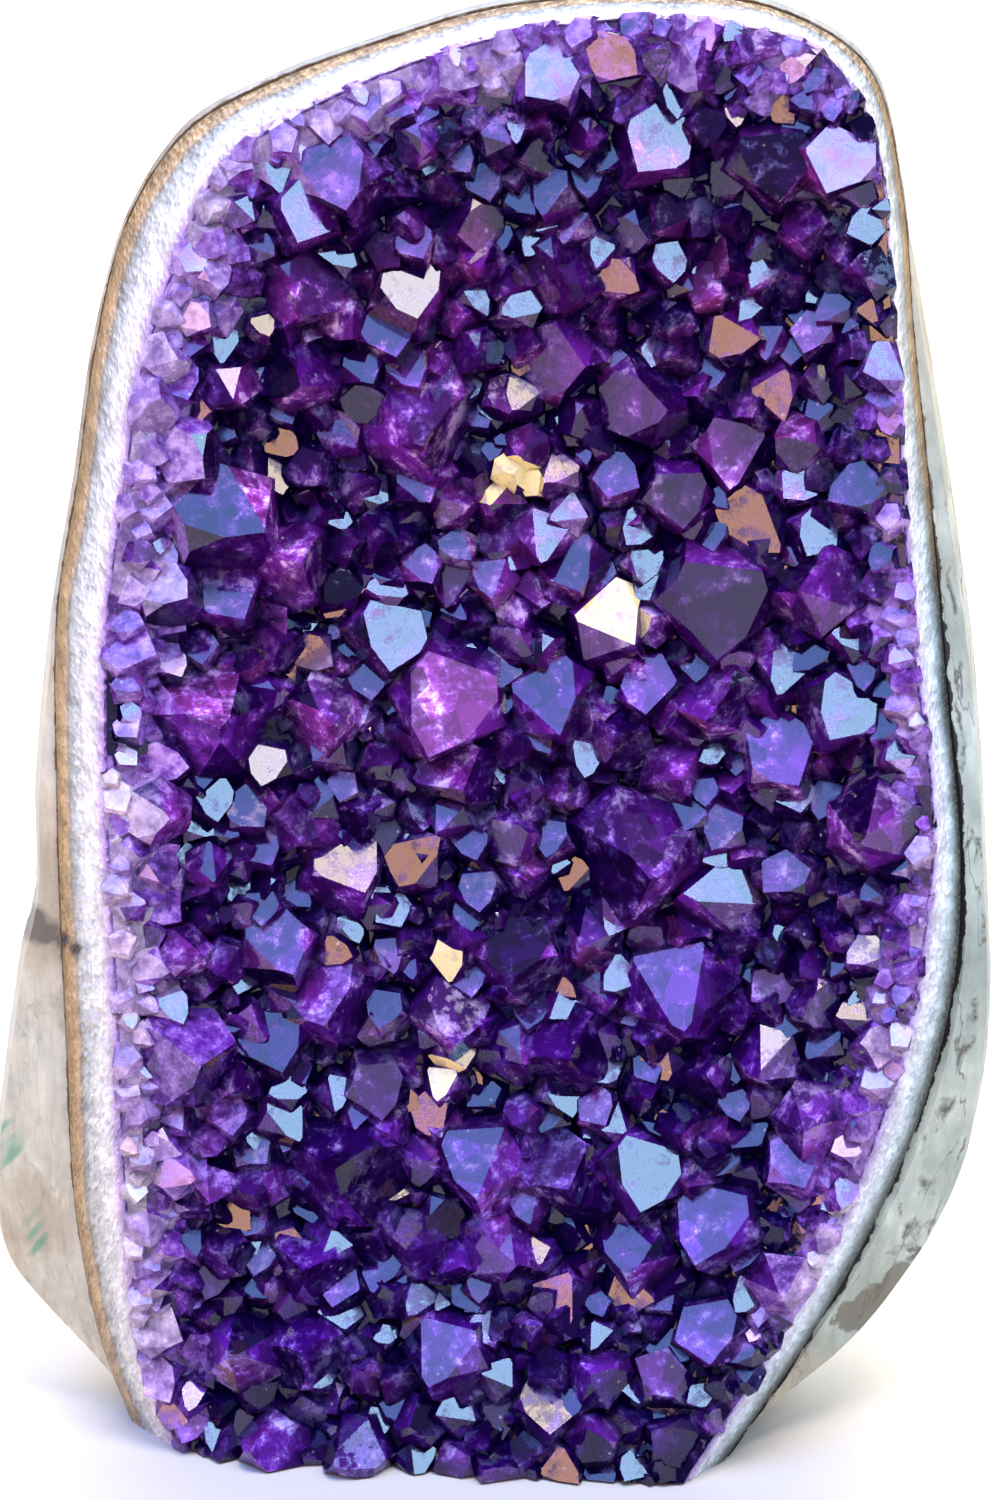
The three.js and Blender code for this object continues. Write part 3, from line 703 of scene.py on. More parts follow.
def crust_bed():
    """The bed of quartz that the crystals stand on"""
    angles = rays(BED_RAYS)

    def ring(share, lift):
        return ring_points(
            angles, crystal_radius(angles) * share,
            lambda x, z: face_y(x, z) + bed_drop(share) - lift,
        )

    front = [ring(share, np.minimum(bed_thick(share), GROWN_BED)) for share in BED_SHARES]
    back = [ring(share, -BED_THICK) for share in reversed(BED_SHARES)]
    middle = float(face_y(*CENTRE)) + float(bed_drop(0))
    return shell_mesh("crust_bed", middle - GROWN_BED, front + back, middle + BED_THICK)


def crust_room():
    """The room that the crystals keep to: in front of the bowl, and above the sawn base"""
    angles = rays(ROOM_RAYS)
    edge = crystal_radius(angles)
    rings = [
        face_ring(angles, edge + ROOM_ASIDE, -ROOM_AHEAD),
        face_ring(angles, edge + ROOM_COLLAR, -ROOM_COLLAR),
    ]
    for share in ROOM_SHARES:
        rings.append(ring_points(
            angles, edge * share + ROOM_EDGE,
            lambda x, z: face_y(x, z) + bed_drop(share) + ROOM_UNDER,
        ))
    y = float(face_y(*CENTRE))
    return shell_mesh("crust_room", y - ROOM_AHEAD, rings, y + float(bed_drop(0)) + ROOM_UNDER)


def crust_tree():
    """Crystals on points, joined with their bed into one closed solid"""
    tree, given, add = geometry_tree(
        "grown_crystals", Kinds="Collection", Bed="Object", Room="Object", Floor="Object",
        Material="Material",
    )
    kinds = add(
        "GeometryNodeCollectionInfo",
        {"Collection": given["Kinds"], "Separate Children": True, "Reset Children": True},
    )
    tips = add("GeometryNodeMeshToPoints", given["Geometry"])
    width = add("GeometryNodeInputNamedAttribute", {"Name": "width"}, data_type="FLOAT")
    turn = add("GeometryNodeInputNamedAttribute", {"Name": "turn"}, data_type="QUATERNION")
    crystals = add(
        "GeometryNodeInstanceOnPoints",
        {"Points": tips, "Instance": kinds, "Pick Instance": True, "Rotation": turn, "Scale": width},
    )
    bed, room, floor = (
        add("GeometryNodeObjectInfo", {"Object": given[name]}).outputs["Geometry"]
        for name in ("Bed", "Room", "Floor")
    )
    solid = crystals
    for operation, other in (("UNION", bed), ("INTERSECT", room)):
        solid = add(
            "GeometryNodeMeshBoolean", {"Mesh 2": solid}, operation=operation, solver="MANIFOLD",
        )
        tree.links.new(other, solid.inputs["Mesh 2"])
    sawn = add(
        "GeometryNodeMeshBoolean", {"Mesh 1": solid, "Mesh 2": floor}, operation="DIFFERENCE",
        solver="MANIFOLD",
    )
    finish_tree(add, sawn, given["Material"])
    return tree


def below_base(height):
    """A box outside the scene that holds everything below a height"""
    mesh = bpy.data.meshes.new("below_base")
    shape = bmesh.new()
    for corner in bmesh.ops.create_cube(shape, size=2 * FLOOR_BOX * MM)["verts"]:
        if corner.co.z > 0:
            corner.co.z = height * MM
    shape.to_mesh(mesh)
    shape.free()
    return bpy.data.objects.new("below_base", mesh)


def drop_loose_chips(mesh):
    """Takes away the tiny chips that a cut leaves loose beside the one large piece"""
    grid = bmesh.new()
    grid.from_mesh(mesh)
    unseen = set(grid.verts)
    while unseen:
        chip, edge = set(), {unseen.pop()}
        while edge:
            chip |= edge
            edge = {link.other_vert(vert) for vert in edge for link in vert.link_edges} & unseen
            unseen -= edge
        if len(chip) < CHIP_POINTS:
            bmesh.ops.delete(grid, geom=list(chip), context="VERTS")
    grid.to_mesh(mesh)
    grid.free()


def mark_crystals(mesh, tips, widths):
    """Marks where each point lies on its crystal, and what kind of crystal each face is on"""
    points = places(mesh)
    x, y, z = points.T
    _, below = nearest_crystals(points, tips, widths)
    mark(mesh, "below_tip", below)
    mark(mesh, "raised", (bed_y(x, z) - y) / BED_DEPTH)
    centres = np.zeros(len(mesh.polygons) * 3)
    mesh.polygons.foreach_get("center", centres)
    centres = from_frame(centres.reshape(-1, 3))
    owner, _ = nearest_crystals(centres, tips, widths)
    chance = np.random.default_rng(SEED)
    pale = share_of_bowl(tips[:, 0], tips[:, 2]) + chance.normal(0, PALE_SPREAD, len(tips))
    pale -= PALE_LEFTWARDS * tips[:, 0] + PALE_LOW_LOSS * smoothstep(-tips[:, 2], *PALE_LOW)
    pale -= PALE_HIGH_LOSS * smoothstep(tips[:, 2], *PALE_HIGH)
    mark(mesh, "rimward", pale[owner], domain="FACE")
    mark(mesh, "tone", chance.random(len(tips))[owner], domain="FACE")
    x, y, z = centres.T
    high = (bed_y(x, z) - y) / BED_DEPTH > CALCITE_HEIGHT
    on_spot = [np.hypot(x - at_x, z - at_z) < radius for at_x, at_z, radius in CALCITE]
    mark(mesh, "calcite", np.any(on_spot, axis=0) & high, domain="FACE")


def make_crystals(material):
    """The crust of crystals, as one closed piece"""
    kinds = bpy.data.collections.new("crystal_kinds")
    for number in range(CRYSTAL_KINDS):
        kinds.objects.link(bpy.data.objects.new("kind_%02d" % number, crystal_kind(number)))
    source, tips, widths = crystal_points()
    mesh = grown("amethyst_crystals", source, crust_tree(), {
        "Kinds": kinds, "Bed": bpy.data.objects.new("bed", crust_bed()),
        "Room": bpy.data.objects.new("room", crust_room()),
        "Floor": below_base(CRYSTAL_FLOOR_Z), "Material": material,
    })
    drop_loose_chips(mesh)
    mark_crystals(mesh, tips, widths)
    return new_object("amethyst_crystals", mesh)


# The quartz lining and the stone skin

def rings_between(first, last, steps):
    """Rings that go evenly from one ring to another, without the first"""
    shares = [step / steps for step in range(1, steps + 1)]
    return [first * (1 - share) + last * share for share in shares]


def pocket_ring(angles, share, gap=0.0):
    """A ring on the lining's back, or at a gap behind it"""
    inset, depth = LINING_BACK
    return ring_points(angles, (agate_radius(angles) - inset) * share, lambda x, z: (
        face_y(x, z) + np.maximum(bed_drop(share) + LINING_THICK, LINING_LIP + depth) + gap))


def lining_mesh():
    angles = rays(LINING_RAYS)
    crystal, agate = crystal_radius(angles), agate_radius(angles)
    bowl = [face_ring(angles, crystal * share, bed_drop(share)) for share in BOWL_SHARES]
    lip = face_ring(angles, crystal - LIP_INSET, LIP_DROP)
    crest = face_ring(angles, crystal + CREST_OUT, 0.0)
    edge = face_ring(angles, agate - AGATE_WIDTH, BAND_DROP)
    outer = face_ring(angles, agate, LINING_LIP)
    inset, depth = LINING_SIDE
    rings = bowl + [lip]
    rings += rings_between(lip, crest, LIP_STEPS)
    rings += rings_between(crest, edge, BAND_STEPS)
    rings += rings_between(edge, outer, EDGE_STEPS)
    rings.append(face_ring(angles, agate - inset, LINING_LIP + depth))
    rings += [pocket_ring(angles, share) for share in reversed(POCKET_SHARES)]
    y = float(face_y(*CENTRE)) + float(bed_drop(0))
    return shell_mesh("lining", y, rings, y + LINING_THICK)


def lump(x, y, z):
    """Low lumps on the outside of the rind"""
    long, short = LUMP_LENGTHS
    broad = np.sin(x / long + LUMP_PHASES[0]) * np.cos(z / long + y / short)
    fine = np.sin(z / short + LUMP_PHASES[1]) * np.cos(x / short - y / long)
    return LUMP_HEIGHT * (broad + LUMP_FINE_SHARE * fine)


def back_rings(angles, skin):
    """Rings from the widest one round the lumpy back to its middle"""
    shares, depths = np.array(BACK_PROFILE).T
    half_width, deep = BACK_REACH
    way = np.hypot(np.diff(shares) * half_width, np.diff(depths) * deep)
    way = np.concatenate([[0], np.cumsum(way)])
    middle = np.array([CENTRE[0], 0, CENTRE[1]])
    rings = []
    for step in np.linspace(0, way[-1], BACK_STEPS + 1)[1:-1]:
        share = np.interp(step, way, shares)
        behind = np.interp(step, way, depths)
        plain = ring_points(angles, skin * share, lambda x, z: (
            widest_y(x, z) + (back_y(z) - widest_y(x, z)) * behind))
        outward = plain - middle
        outward /= np.linalg.norm(outward, axis=1)[:, None]
        blend = min(1.0, step / way[1])
        swell = lump(*plain.T) * blend * (LUMP_FULL_SHARE - share)
        rings.append(plain + outward * swell[:, None])
    return rings


def rind_mesh():
    angles = rays(RIND_RAYS)
    agate, skin = agate_radius(angles), skin_radius(angles)
    wall, skin_inset, shoulder_depth = RIND_SHOULDER
    groove = CLEARANCE + GROOVE_WIDTH * groove_share(angles)
    inset, depth = LINING_SIDE
    mouth = face_ring(angles, agate, LINING_LIP + shoulder_depth - MOUTH_LIFT, groove)
    shoulder = face_ring(
        angles, np.maximum(agate, skin - skin_inset) + wall, LINING_LIP + shoulder_depth)
    rings = [pocket_ring(angles, share, CLEARANCE) for share in POCKET_SHARES]
    rings += [face_ring(angles, agate - inset, LINING_LIP + depth + CLEARANCE), mouth]
    rings += rings_between(mouth, shoulder, SHOULDER_STEPS)
    rings += rings_between(shoulder, ring_points(angles, skin, widest_y), SIDE_STEPS)
    rings += back_rings(angles, skin)
    y = float(face_y(*CENTRE)) + float(bed_drop(0)) + LINING_THICK + CLEARANCE
    return shell_mesh("rind", y, rings, float(back_y(CENTRE[1])))


def cut_tree(name, noise_kind):
    """Presses a skin in by a noise that runs along its grain, and saws off its base"""
    tree, given, add = geometry_tree(
        name, Floor="Object", Material="Material", Height="Float", Grain="Float",
    )
    floor = add("GeometryNodeObjectInfo", {"Object": given["Floor"]}).outputs["Geometry"]
    sink = add("GeometryNodeInputNamedAttribute", {"Name": "sink"}, data_type="FLOAT")
    flow = add("GeometryNodeInputNamedAttribute", {"Name": "flow"}, data_type="FLOAT_VECTOR")
    scale = add("Math", 1.0, given["Grain"], operation="DIVIDE")
    if noise_kind == "grains":
        depth = add("TexVoronoi", flow, scale, feature="F1")
    else:
        depth = add("TexNoise", flow, scale, 6.0, 0.55)
        depth = add("MapRange", depth, 0.32, 0.68, 0.12, interpolation_type="SMOOTHSTEP")
    for factor in (given["Height"], sink):
        depth = add("Math", depth, factor, operation="MULTIPLY")
    inward = add("GeometryNodeInputNormal")
    for factor in (depth, -1.0):
        inward = add("VectorMath", inward, factor, operation="SCALE")
    moved = add("GeometryNodeSetPosition", {"Geometry": given["Geometry"], "Offset": inward})
    sawn = add(
        "GeometryNodeMeshBoolean", {"Mesh 1": moved, "Mesh 2": floor}, operation="DIFFERENCE",
        solver="MANIFOLD",
    )
    finish_tree(add, sawn, given["Material"])
    return tree


def pressed(name, mesh, kind, relief, material):
    """A skin with its relief of one kind of noise pressed in, and its base sawn off"""
    height, grain_size = relief
    return grown(name, mesh, cut_tree(name + "_relief", kind), {
        "Floor": below_base(0), "Material": material,
        "Height": height * MM, "Grain": grain_size * MM,
    })


def mark_flow(mesh):
    """Gives each point its place in the stone's layers: out from the agate line, back from
    the front face, and along the edge, all in metres"""
    x, y, z = places(mesh).T
    angle, radius = polar(x, z)
    out = radius - agate_radius(angle)
    flow = np.stack([out, y - face_y(x, z), along_edge(angle)], axis=1) * MM
    mark(mesh, "flow", flow, kind="FLOAT_VECTOR")
    return x, y, z, out, agate_radius(angle) - crystal_radius(angle)


def coolness(x, z):
    """1 on the lower right side, where the stone is grey-green, and 0 on the warm rest"""
    return smoothstep(x, *COOL_X) * smoothstep(-z, *COOL_DOWN)


def seen(x, y, z):
    """Where the camera sees a point: millimetres across and up from the picture's middle, at
    the distance of its target"""
    from_x, from_y, from_z = (value - target for value, target in zip((x, y, z), CAMERA_TARGET))
    rise, level = math.sin(CAMERA_ELEVATION), math.cos(CAMERA_ELEVATION)
    nearness = CAMERA_DISTANCE / (CAMERA_DISTANCE + from_y * level - from_z * rise)
    return from_x * nearness, (from_y * rise + from_z * level) * nearness


def closeness(x, y, z, spots):
    """1 in the middle of the nearest spot and 0 at its edge, on the side that the camera sees"""
    across, up = seen(x, y, z)
    near = [1 - np.hypot(across - at_x, up - at_z) / radius for at_x, at_z, radius in spots]
    return np.maximum(0, np.max(near, axis=0)) * smoothstep(widest_y(x, z) - y, *SEEN_EDGE)


def make_lining(material):
    """The white quartz band with its agate line, as one closed piece"""
    mesh = lining_mesh()
    x, y, z, out, width = mark_flow(mesh)
    behind, inwards = FRONT_MARGINS
    in_front = (y - face_y(x, z) < LINING_LIP + behind) & (out > -width - inwards)
    grainy = smoothstep(-out, *(AGATE_WIDTH * share for share in SUGAR_STARTS))
    mark(mesh, "sink", np.where(in_front, SUGAR_LEAST + (1 - SUGAR_LEAST) * grainy, 0.0))
    mesh = pressed("quartz_band", mesh, "grains", SUGAR_RELIEF, material)
    x, y, z, out, width = mark_flow(mesh)
    mark(mesh, "across", 1 + out / width)
    mark(mesh, "cool", coolness(x, z))
    mark(mesh, "knob", closeness(x, y, z, KNOB))
    return new_object("quartz_band", mesh)


def dent_pits(mesh):
    """Presses the rind's round pits into its surface"""
    points = places(mesh)
    for centre, radius in PITS:
        way = points - np.array(centre, float)
        far = np.linalg.norm(way, axis=1)
        inside = far < radius
        inward = np.array([CENTRE[0], 0, CENTRE[1]]) - np.array(centre, float)
        inward /= np.linalg.norm(inward)
        depth = np.sqrt(np.maximum(radius ** 2 - far ** 2, 0)) * inside
        points += inward * depth[:, None]
    mesh.vertices.foreach_set("co", to_frame(points).ravel())


def make_rind(material):
    """The stone skin: smooth at the sides and weathered at the back, as one closed piece"""
    mesh = rind_mesh()
    dent_pits(mesh)
    points = places(mesh)
    x, y, z = points.T
    angle, radius = polar(x, z)
    mark(mesh, "flow", points * RIND_SQUASH * MM, kind="FLOAT_VECTOR")
    outwards, behind = OUTSIDE_MARGINS
    outside = (radius > agate_radius(angle) + outwards) | (y > widest_y(x, z) + behind)
    rocky = smoothstep(y - widest_y(x, z), *ROCK_STARTS)
    mark(mesh, "sink", np.where(outside, ROCK_LEAST + (1 - ROCK_LEAST) * rocky, ROCK_HIDDEN))
    mesh = pressed("stone_skin", mesh, "noise", ROCK_RELIEF, material)
    x, y, z, _, _ = mark_flow(mesh)
    mark(mesh, "rough", smoothstep(y - widest_y(x, z), *ROUGH_STARTS))
    mark(mesh, "cool", coolness(x, z))
    for name, spots in (("stain", STAINS), ("green", GREEN_STREAK), ("knob", KNOB)):
        mark(mesh, name, closeness(x, y, z, spots))
    mesh.set_sharp_from_angle(angle=SHARP_FROM)
    mesh.shade_smooth()
    return new_object("stone_skin", mesh)


# Materials

def linear(code):
    """An sRGB hex colour as linear red, green, blue and alpha"""
    parts = [int(code[i:i + 2], 16) / 255 for i in (1, 3, 5)]
    return (*[c / 12.92 if c <= 0.04045 else ((c + 0.055) / 1.055) ** 2.4 for c in parts], 1.0)


def scale_of(size):
    """A pattern's scale, from the real size of its grains in millimetres"""
    return 1 / (size * MM)


def cleared(owner):
    """A function that adds nodes to a material or world, from which all nodes are taken"""
    owner.use_nodes = True
    owner.node_tree.nodes.clear()
    return partial(add_node, owner.node_tree)


def fill_ramp(node, stops):
    """Gives a colour ramp's node its stops, each as (place, hex colour)"""
    elements = node.color_ramp.elements
    for place, _ in stops[1:-1]:
        elements.new(place)
    for element, (place, code) in zip(elements, stops):
        element.position = place
        element.color = linear(code)
    return node


def amethyst_material():
    """Amethyst, grown faces: clear violet quartz, glossy like glass, darker where it is thick,
    with frosted veils low on each crystal, and nearly white at the rim"""
    material = bpy.data.materials.new("amethyst_grown_faces")
    add = cleared(material)
    place = add("TexCoord").outputs["Object"]
    rim, tone, facet, low, raised, calcite = (
        add("Attribute", attribute_name=name).outputs["Fac"]
        for name in ("rimward", "tone", "facet", "below_tip", "raised", "calcite")
    )
    patch = add("TexNoise", place, scale_of(8), 1.0)
    wisps = add("TexNoise", place, scale_of(2.6), 3.0, 0.75)
    planes = add("TexVoronoi", place, scale_of(3.4))

    # How near the rim a place is, and how frosted
    pale = add("Math", wisps, 0.2, rim, operation="MULTIPLY_ADD")
    rimmed = add("MapRange", pale, 0.92, 1.04, interpolation_type="SMOOTHSTEP")
    lower = add("MapRange", low, 0.3, 0.9, -0.02, 0.07)
    cloud = add("Math", patch, 0.35, wisps, operation="MULTIPLY_ADD")
    cloud = add("Math", tone, 0.12, cloud, operation="MULTIPLY_ADD")
    cloud = add("Math", cloud, lower, operation="ADD")
    frost = add("MapRange", cloud, 0.7, 0.96)

    # The body's violet, its veils, and painted light: each inner plane and face is made lighter or
    # darker, as if it caught more or less light
    mixed = add("Math", facet, 0.55, operation="MULTIPLY")
    mixed = add("Math", tone, 0.45, mixed, operation="MULTIPLY_ADD")
    body = fill_ramp(add("ValToRGB", mixed), [
        (0.0, "#360870"), (0.25, "#58149c"), (0.45, "#8024bc"), (0.6, "#a03ed8"), (0.8, "#b248c8"),
        (0.94, "#c25cb4"), (0.955, "#d9b070"), (1.0, "#e8c98c"),
    ])
    veils = fill_ramp(add("ValToRGB", frost), [(0.0, "#9048cc"), (0.5, "#bb8ae8"), (1.0, "#f0e0ff")])
    veiled = add("Mix", frost, body, veils, data_type="RGBA")
    # Painted light: brighter and darker inner planes and faces, scaled into the colour
    painted_plane_light = add("SeparateXYZ", planes.outputs["Color"])
    painted_plane_light = add("MapRange", painted_plane_light, 0, 1, 0.65, 2.4)
    painted_face_light = add("MapRange", facet, 0, 1, 0.15, 1.65)
    painted_plane_light = add("Math", painted_plane_light, painted_face_light, operation="MULTIPLY")
    veiled = add("VectorMath", veiled, painted_plane_light, operation="SCALE")

    # Bluer low on the piece, and painted shade deep between the crystals, nearly black
    height = add("SeparateXYZ", place).outputs["Z"]
    height = add("MapRange", height, 0.02, 0.17)
    hue = add("Mix", height, "#d4cef2", "#ffd6d8", data_type="RGBA")
    tinted = add("VectorMath", veiled, hue, operation="MULTIPLY")
    # Painted shade: the lower a place lies between the crystals, the nearer its colour goes to a
    # near-black indigo, except on the rim
    depth = add("MapRange", raised, 0.2, 0.75, interpolation_type="SMOOTHSTEP")
    depth = add("Math", depth, rimmed, operation="MAXIMUM")
    shaded = add("Mix", depth, "#1c0a5c", tinted, data_type="RGBA")

    # The rim, from lilac to nearly white, with painted light and shade on its faces and wisps
    whiter = add("MapRange", pale, 1.0, 1.15)
    rim_colour = add("Mix", whiter, "#a860e0", "#ffe6f0", data_type="RGBA")
    rim_light = add("MapRange", facet, 0, 1, 0.75, 1.25)
    rim_shade = add("MapRange", wisps, 0.35, 0.65, 0.55, 1.25)
    rim_light = add("Math", rim_light, rim_shade, operation="MULTIPLY")
    rim_colour = add("VectorMath", rim_colour, rim_light, operation="SCALE")
    colour = add("Mix", rimmed, shaded, rim_colour, data_type="RGBA")

    # Painted glints: tiny bright specks; and yellow calcite with the wisps' pattern
    painted_glint = add("MapRange", planes.outputs["Distance"], 0.085, 0.05, 0, 0.8)
    crusted = add("MapRange", wisps, 0.3, 0.5, 0.55, 1.0)
    crusted = add("Math", crusted, calcite, operation="MULTIPLY")
    for share, code in ((painted_glint, "#f2e4ff"), (crusted, "#f6dc96")):
        colour = add("Mix", share, colour, code, data_type="RGBA")

    # Veils, rim and calcite are milky, and calcite isn't clear at all
    milky = add("Math", frost, rimmed, operation="MAXIMUM")
    milky = add("Math", milky, calcite, operation="MAXIMUM")
    clear = add("MapRange", milky, 0, 1, 0.82, 0.45)
    bare = add("Math", 1.0, calcite, operation="SUBTRACT")
    clear = add("Math", clear, bare, operation="MULTIPLY")
    rough = add("MapRange", frost, 0, 1, 0.02, 0.45)
    shader = add(
        "BsdfPrincipled",
        {"Base Color": colour, "Roughness": rough, "IOR": QUARTZ_IOR, "Transmission Weight": clear},
    )
    inside = add("VolumeAbsorption", {"Color": "#b020e0", "Density": 50.0})
    add("OutputMaterial", {"Surface": shader, "Volume": inside})
    return material


def quartz_material():
    """White quartz, ground: sugary grains that glitter, and a tan agate line at its edge, which
    is grey-green on the lower right"""
    material = bpy.data.materials.new("white_quartz_ground")
    add = cleared(material)
    flow = add("Attribute", attribute_name="flow").outputs["Vector"]
    across, cool, knob = (
        add("Attribute", attribute_name=name).outputs["Fac"]
        for name in ("across", "cool", "knob")
    )
    grain = add("TexVoronoi", flow, scale_of(0.8), feature="F1")
    coarse, cloud = (add("TexNoise", flow, scale_of(size), 4.0) for size in (2.8, 9))

    # The layers from the crystals to the skin, warm on most of the edge
    wobble = add("MapRange", cloud, 0, 1, -0.09, 0.09)
    layer = add("Math", across, wobble, operation="ADD")
    warm_bands = fill_ramp(add("ValToRGB", layer), [
        (0.0, "#8a62b4"), (0.12, "#d8b8dc"), (0.26, "#fbf4e8"), (0.44, "#f6f4e4"), (0.6, "#d2d4c4"),
        (0.7, "#b8b8a8"), (0.75, "#a0947c"), (0.79, "#c6aa7c"), (0.88, "#bc9a64"), (1.0, "#9c8050"),
    ])
    cool_bands = fill_ramp(add("ValToRGB", layer), [
        (0.0, "#8a62b4"), (0.14, "#ccb2e2"), (0.3, "#eceaf2"), (0.52, "#e6eeee"), (0.68, "#bccaca"),
        (0.78, "#8c9c99"), (0.86, "#5f6c66"), (0.94, "#31352e"), (1.0, "#1c1d18"),
    ])
    bands = add("Mix", cool, warm_bands, cool_bands, data_type="RGBA")

    # Each grain is a little lighter or darker, and each coarse patch too
    tint = add("SeparateXYZ", grain.outputs["Color"])
    tint = add("MapRange", tint, 0, 1, 0.76, 1.14)
    spread = add("MapRange", coarse, 0.3, 0.7, 0.7, 1.22)
    light = add("Math", tint, spread, operation="MULTIPLY")
    colour = add("VectorMath", bands, light, operation="SCALE")
    knobbed = add("MapRange", knob, 0.1, 0.5)
    colour = add("Mix", knobbed, colour, "#4c443a", data_type="RGBA")
    bump = add("Bump", {"Strength": 0.7, "Distance": 0.6 * MM, "Height": grain.outputs["Distance"]})
    shader = add(
        "BsdfPrincipled", {"Base Color": colour, "Roughness": 0.28, "IOR": QUARTZ_IOR, "Normal": bump},
    )
    add("OutputMaterial", {"Surface": shader})
    return material


def rind_material():
    """Basalt rind, ground smooth at the sides: warm grey-beige with a faint grain along the edge,
    grey-green with fine cracks on the lower right, and rough and browner at the back"""
    material = bpy.data.materials.new("basalt_rind_ground")
    add = cleared(material)
    flow = add("Attribute", attribute_name="flow").outputs["Vector"]
    cool, rough, stain, green, knob = (
        add("Attribute", attribute_name=name).outputs["Fac"]
        for name in ("cool", "rough", "stain", "green", "knob")
    )
    place = add("TexCoord").outputs["Object"]
    grain = add("Mapping", {"Vector": place, "Scale": (1, 1, 0.16)})
    grain = add("TexNoise", grain, scale_of(1.6), 6.0, 0.6)
    mottle = add("TexNoise", place, scale_of(4.5), 6.0, 0.65)
    patch = add("TexNoise", place, scale_of(28), 3.0)

    # The stone itself: warm, cool, and rough at the back
    warm_stone = fill_ramp(add("ValToRGB", patch), [
        (0.34, "#b6bba2"), (0.46, "#c6c3a8"), (0.54, "#cdc7aa"), (0.62, "#beb292"), (0.7, "#aea280"),
    ])
    cool_stone = fill_ramp(add("ValToRGB", patch), [
        (0.34, "#9aa594"), (0.44, "#b4beaa"), (0.54, "#c2cab6"), (0.62, "#a8b09a"), (0.7, "#b8ad90"),
    ])
    stone = add("Mix", cool, warm_stone, cool_stone, data_type="RGBA")
    blend = add("Math", patch, mottle, operation="ADD")
    blend = add("Math", blend, 0.5, operation="MULTIPLY")
    rough_stone = fill_ramp(add("ValToRGB", blend), [
        (0.36, "#5f584c"), (0.44, "#807666"), (0.5, "#85856f"), (0.56, "#9a8d76"), (0.66, "#ab9672"),
    ])
    stone = add("Mix", rough, stone, rough_stone, data_type="RGBA")
    light = add("MapRange", grain, 0.3, 0.7, 0.8, 1.12)
    mottled = add("MapRange", mottle, 0.3, 0.7, 0.82, 1.12)
    light = add("Math", light, mottled, operation="MULTIPLY")
    stone = add("VectorMath", stone, light, operation="SCALE")

    # Cracks: the edges of wavering cells, here and there
    bent = add("Mapping", {"Vector": place, "Scale": (1.0, 1.0, 0.4)})
    waver = add("TexNoise", place, scale_of(6), 3.0)
    bent = add("Mix", 0.004, bent, waver.outputs["Color"], data_type="RGBA")
    web = add("TexVoronoi", bent, scale_of(13), feature="DISTANCE_TO_EDGE").outputs["Distance"]
    crack = add("MapRange", web, 0.035, 0.0)
    some = add("MapRange", mottle, 0.5, 0.6)
    cracked = add("MapRange", cool, 0, 1, 0.3, 0.9)
    for share in (some, cracked):
        crack = add("Math", crack, share, operation="MULTIPLY")

    # Thin dark veins that run along the edge, on the smooth part only
    vein = add("Mapping", {"Vector": flow, "Scale": (1.0, 1.0, 0.22)})
    vein = add("TexNoise", vein, scale_of(4.5), 4.0)
    vein = add("Math", vein, 0.5, operation="SUBTRACT")
    vein = add("Math", vein, operation="ABSOLUTE")
    vein = add("MapRange", vein, 0.011, 0.002)
    veined = add("MapRange", cool, 0, 1, 0.25, 0.8)
    smooth = add("Math", 1.0, rough, operation="SUBTRACT")
    most = add("MapRange", mottle, 0.4, 0.52)
    for share in (veined, smooth, most):
        vein = add("Math", vein, share, operation="MULTIPLY")

    # The brown stain, the green streak and the knob, each broken up by the mottling
    blotch = add("Math", mottle, 2.2, stain, operation="MULTIPLY_ADD")
    blotch = add("MapRange", blotch, 1.42, 1.6, 0, 0.8)
    inner = add("Math", stain, 6.0, operation="MULTIPLY", use_clamp=True)
    blotch = add("Math", blotch, inner, operation="MULTIPLY")
    streak = add("MapRange", green, 0.0, 0.5, 0, 0.7)
    lump = add("Math", mottle, 1.2, knob, operation="MULTIPLY_ADD")
    lump = add("MapRange", lump, 0.72, 1.05, 0, 0.9)
    inner = add("Math", knob, 6.0, operation="MULTIPLY", use_clamp=True)
    lump = add("Math", lump, inner, operation="MULTIPLY")
    for share, code in (
        (vein, "#5c5648"), (blotch, "#5e5540"), (streak, "#3f9670"), (lump, "#5a5246"),
        (crack, "#3c352c"),
    ):
        stone = add("Mix", share, stone, code, data_type="RGBA")

    # The crack between the agate line and the skin, wide and dark on the lower right
    layers = add("SeparateXYZ", flow)
    wave = add("MapRange", mottle, 0.3, 0.7, -0.6 * MM, 0.6 * MM)
    wave = add("Math", layers, wave, operation="ADD")
    width = add("MapRange", cool, 0, 1, 0.2 * MM, 0.7 * MM)
    seam = add("Math", wave, width, operation="LESS_THAN")
    front = add("Math", layers.outputs["Y"], 8.8 * MM, operation="LESS_THAN")
    seam = add("Math", seam, front, operation="MULTIPLY")
    seam_colour = add("Mix", cool, "#8c7454", "#2a2722", data_type="RGBA")
    stone = add("Mix", seam, stone, seam_colour, data_type="RGBA")

    # Small holes in the rough stone
    hole = add("MapRange", add("TexVoronoi", place, scale_of(3.2)), 0.2, 0.08)
    few = add("MapRange", patch, 0.45, 0.6)
    for share in (few, rough):
        hole = add("Math", hole, share, operation="MULTIPLY")
    stone = add("Mix", hole, stone, "#4a4238", data_type="RGBA")
    height = mottle
    for share in (crack, hole):
        height = add("Math", share, -1.5, height, operation="MULTIPLY_ADD")
    relief = add("MapRange", rough, 0, 1, 0.3, 1.0)
    bump = add("Bump", {"Strength": relief, "Distance": 1.2 * MM, "Height": height})
    dull = add("MapRange", rough, 0, 1, 0.42, 0.85)
    shader = add(
        "BsdfPrincipled", {"Base Color": stone, "Roughness": dull, "IOR": STONE_IOR, "Normal": bump},
    )
    add("OutputMaterial", {"Surface": shader})
    return material


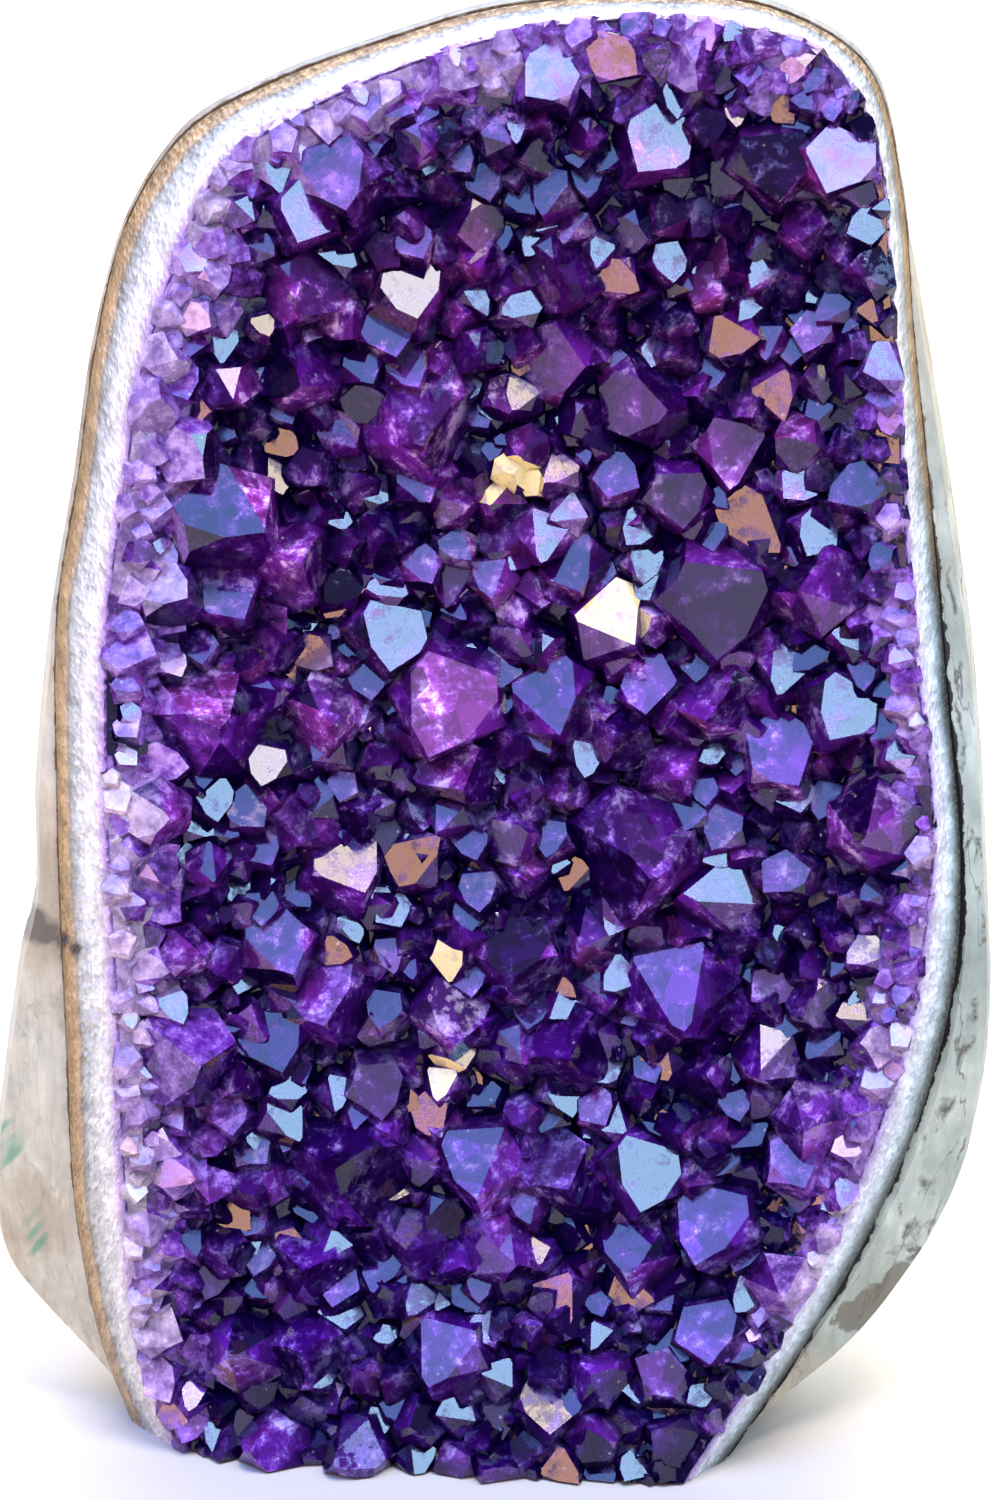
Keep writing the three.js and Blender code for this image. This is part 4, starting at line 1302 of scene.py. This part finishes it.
def floor_material():
    """Paper, pressed: pale, warm and matt"""
    material = bpy.data.materials.new("pale_paper_floor")
    add = cleared(material)
    shader = add("BsdfPrincipled", {"Base Color": "#dcd6c6", "Roughness": 0.9})
    add("OutputMaterial", {"Surface": shader})
    return material


# The set

def camera_place():
    target = Vector(to_frame(np.array(CAMERA_TARGET)))
    return target - camera_way() * CAMERA_DISTANCE * MM


def camera_way():
    return Vector((0, math.cos(CAMERA_ELEVATION), -math.sin(CAMERA_ELEVATION)))


def look(thing, way):
    """Turns a camera or a light so that it looks one way"""
    thing.rotation_mode = "QUATERNION"
    thing.rotation_quaternion = way.to_track_quat("-Z", "Y")


def make_camera():
    data = bpy.data.cameras.new("camera")
    data.sensor_width = SENSOR
    data.lens = SENSOR * CAMERA_DISTANCE / FRAME_HEIGHT
    data.clip_start, data.clip_end = 0.01, 100
    camera = new_object("camera", data)
    camera.location = camera_place()
    look(camera, camera_way())
    bpy.context.scene.camera = camera


def make_soft_box(name, place, size, power, colour, aim=MIDDLE):
    """A soft box that faces the middle of the piece, or another place"""
    data = bpy.data.lights.new(name + "_box", "AREA")
    data.shape = "RECTANGLE"
    data.size, data.size_y = size
    data.energy = power
    data.color = linear(colour)[:3]
    light = new_object(name + "_box", data)
    light.location = place
    look(light, Vector(aim) - Vector(place))


def make_lights():
    for name, box in SOFT_BOXES.items():
        make_soft_box(name, **box)
    make_soft_box("backdrop", **BACKDROP)
    overhead = bpy.data.lights.new("overhead", "SUN")
    overhead.energy = OVERHEAD_POWER
    overhead.color = linear("#ffeed4")[:3]
    overhead.angle = OVERHEAD_SPREAD
    new_object("overhead", overhead).rotation_euler = OVERHEAD_TURN


def make_world():
    """A pale violet room that is brighter overhead"""
    world = bpy.data.worlds.new("studio")
    add = cleared(world)
    way = add("TexCoord").outputs["Generated"]
    height = add("SeparateXYZ", way).outputs["Z"]
    level = add("MapRange", height, 0.1, 1.0, 0.14, 0.6)
    light = add("Background", {"Color": "#d0caff", "Strength": level})
    add("OutputWorld", {"Surface": light})
    world.cycles.sampling_method = "NONE"
    bpy.context.scene.world = world


def make_floor():
    mesh = bpy.data.meshes.new("floor")
    corners = [(x * FLOOR_SIDE, y * FLOOR_SIDE, 0) for x, y in ((-1, -1), (1, -1), (1, 1), (-1, 1))]
    mesh.from_pydata(corners, [], [(0, 1, 2, 3)])
    mesh.materials.append(floor_material())
    floor = new_object("studio_floor", mesh)


def dress(piece, node):
    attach(piece, "root")
    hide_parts(node)


def set_bounces():
    """Few light bounces, which are enough for crystals this dark"""
    cycles = bpy.context.scene.cycles
    cycles.max_bounces = 4
    cycles.diffuse_bounces = 2
    cycles.glossy_bounces = 1
    cycles.transmission_bounces = 3
    cycles.caustics_refractive = False
    cycles.caustics_reflective = False
    cycles.use_light_tree = False


def make_scene():
    bpy.context.scene.view_settings.view_transform = "Standard"
    set_bounces()
    make_camera()
    make_lights()
    make_world()
    make_floor()
    dress(make_rind(rind_material()), "stone_rind")
    dress(make_lining(quartz_material()), "quartz_lining")
    dress(make_crystals(amethyst_material()), "amethyst_crust")


make_scene()
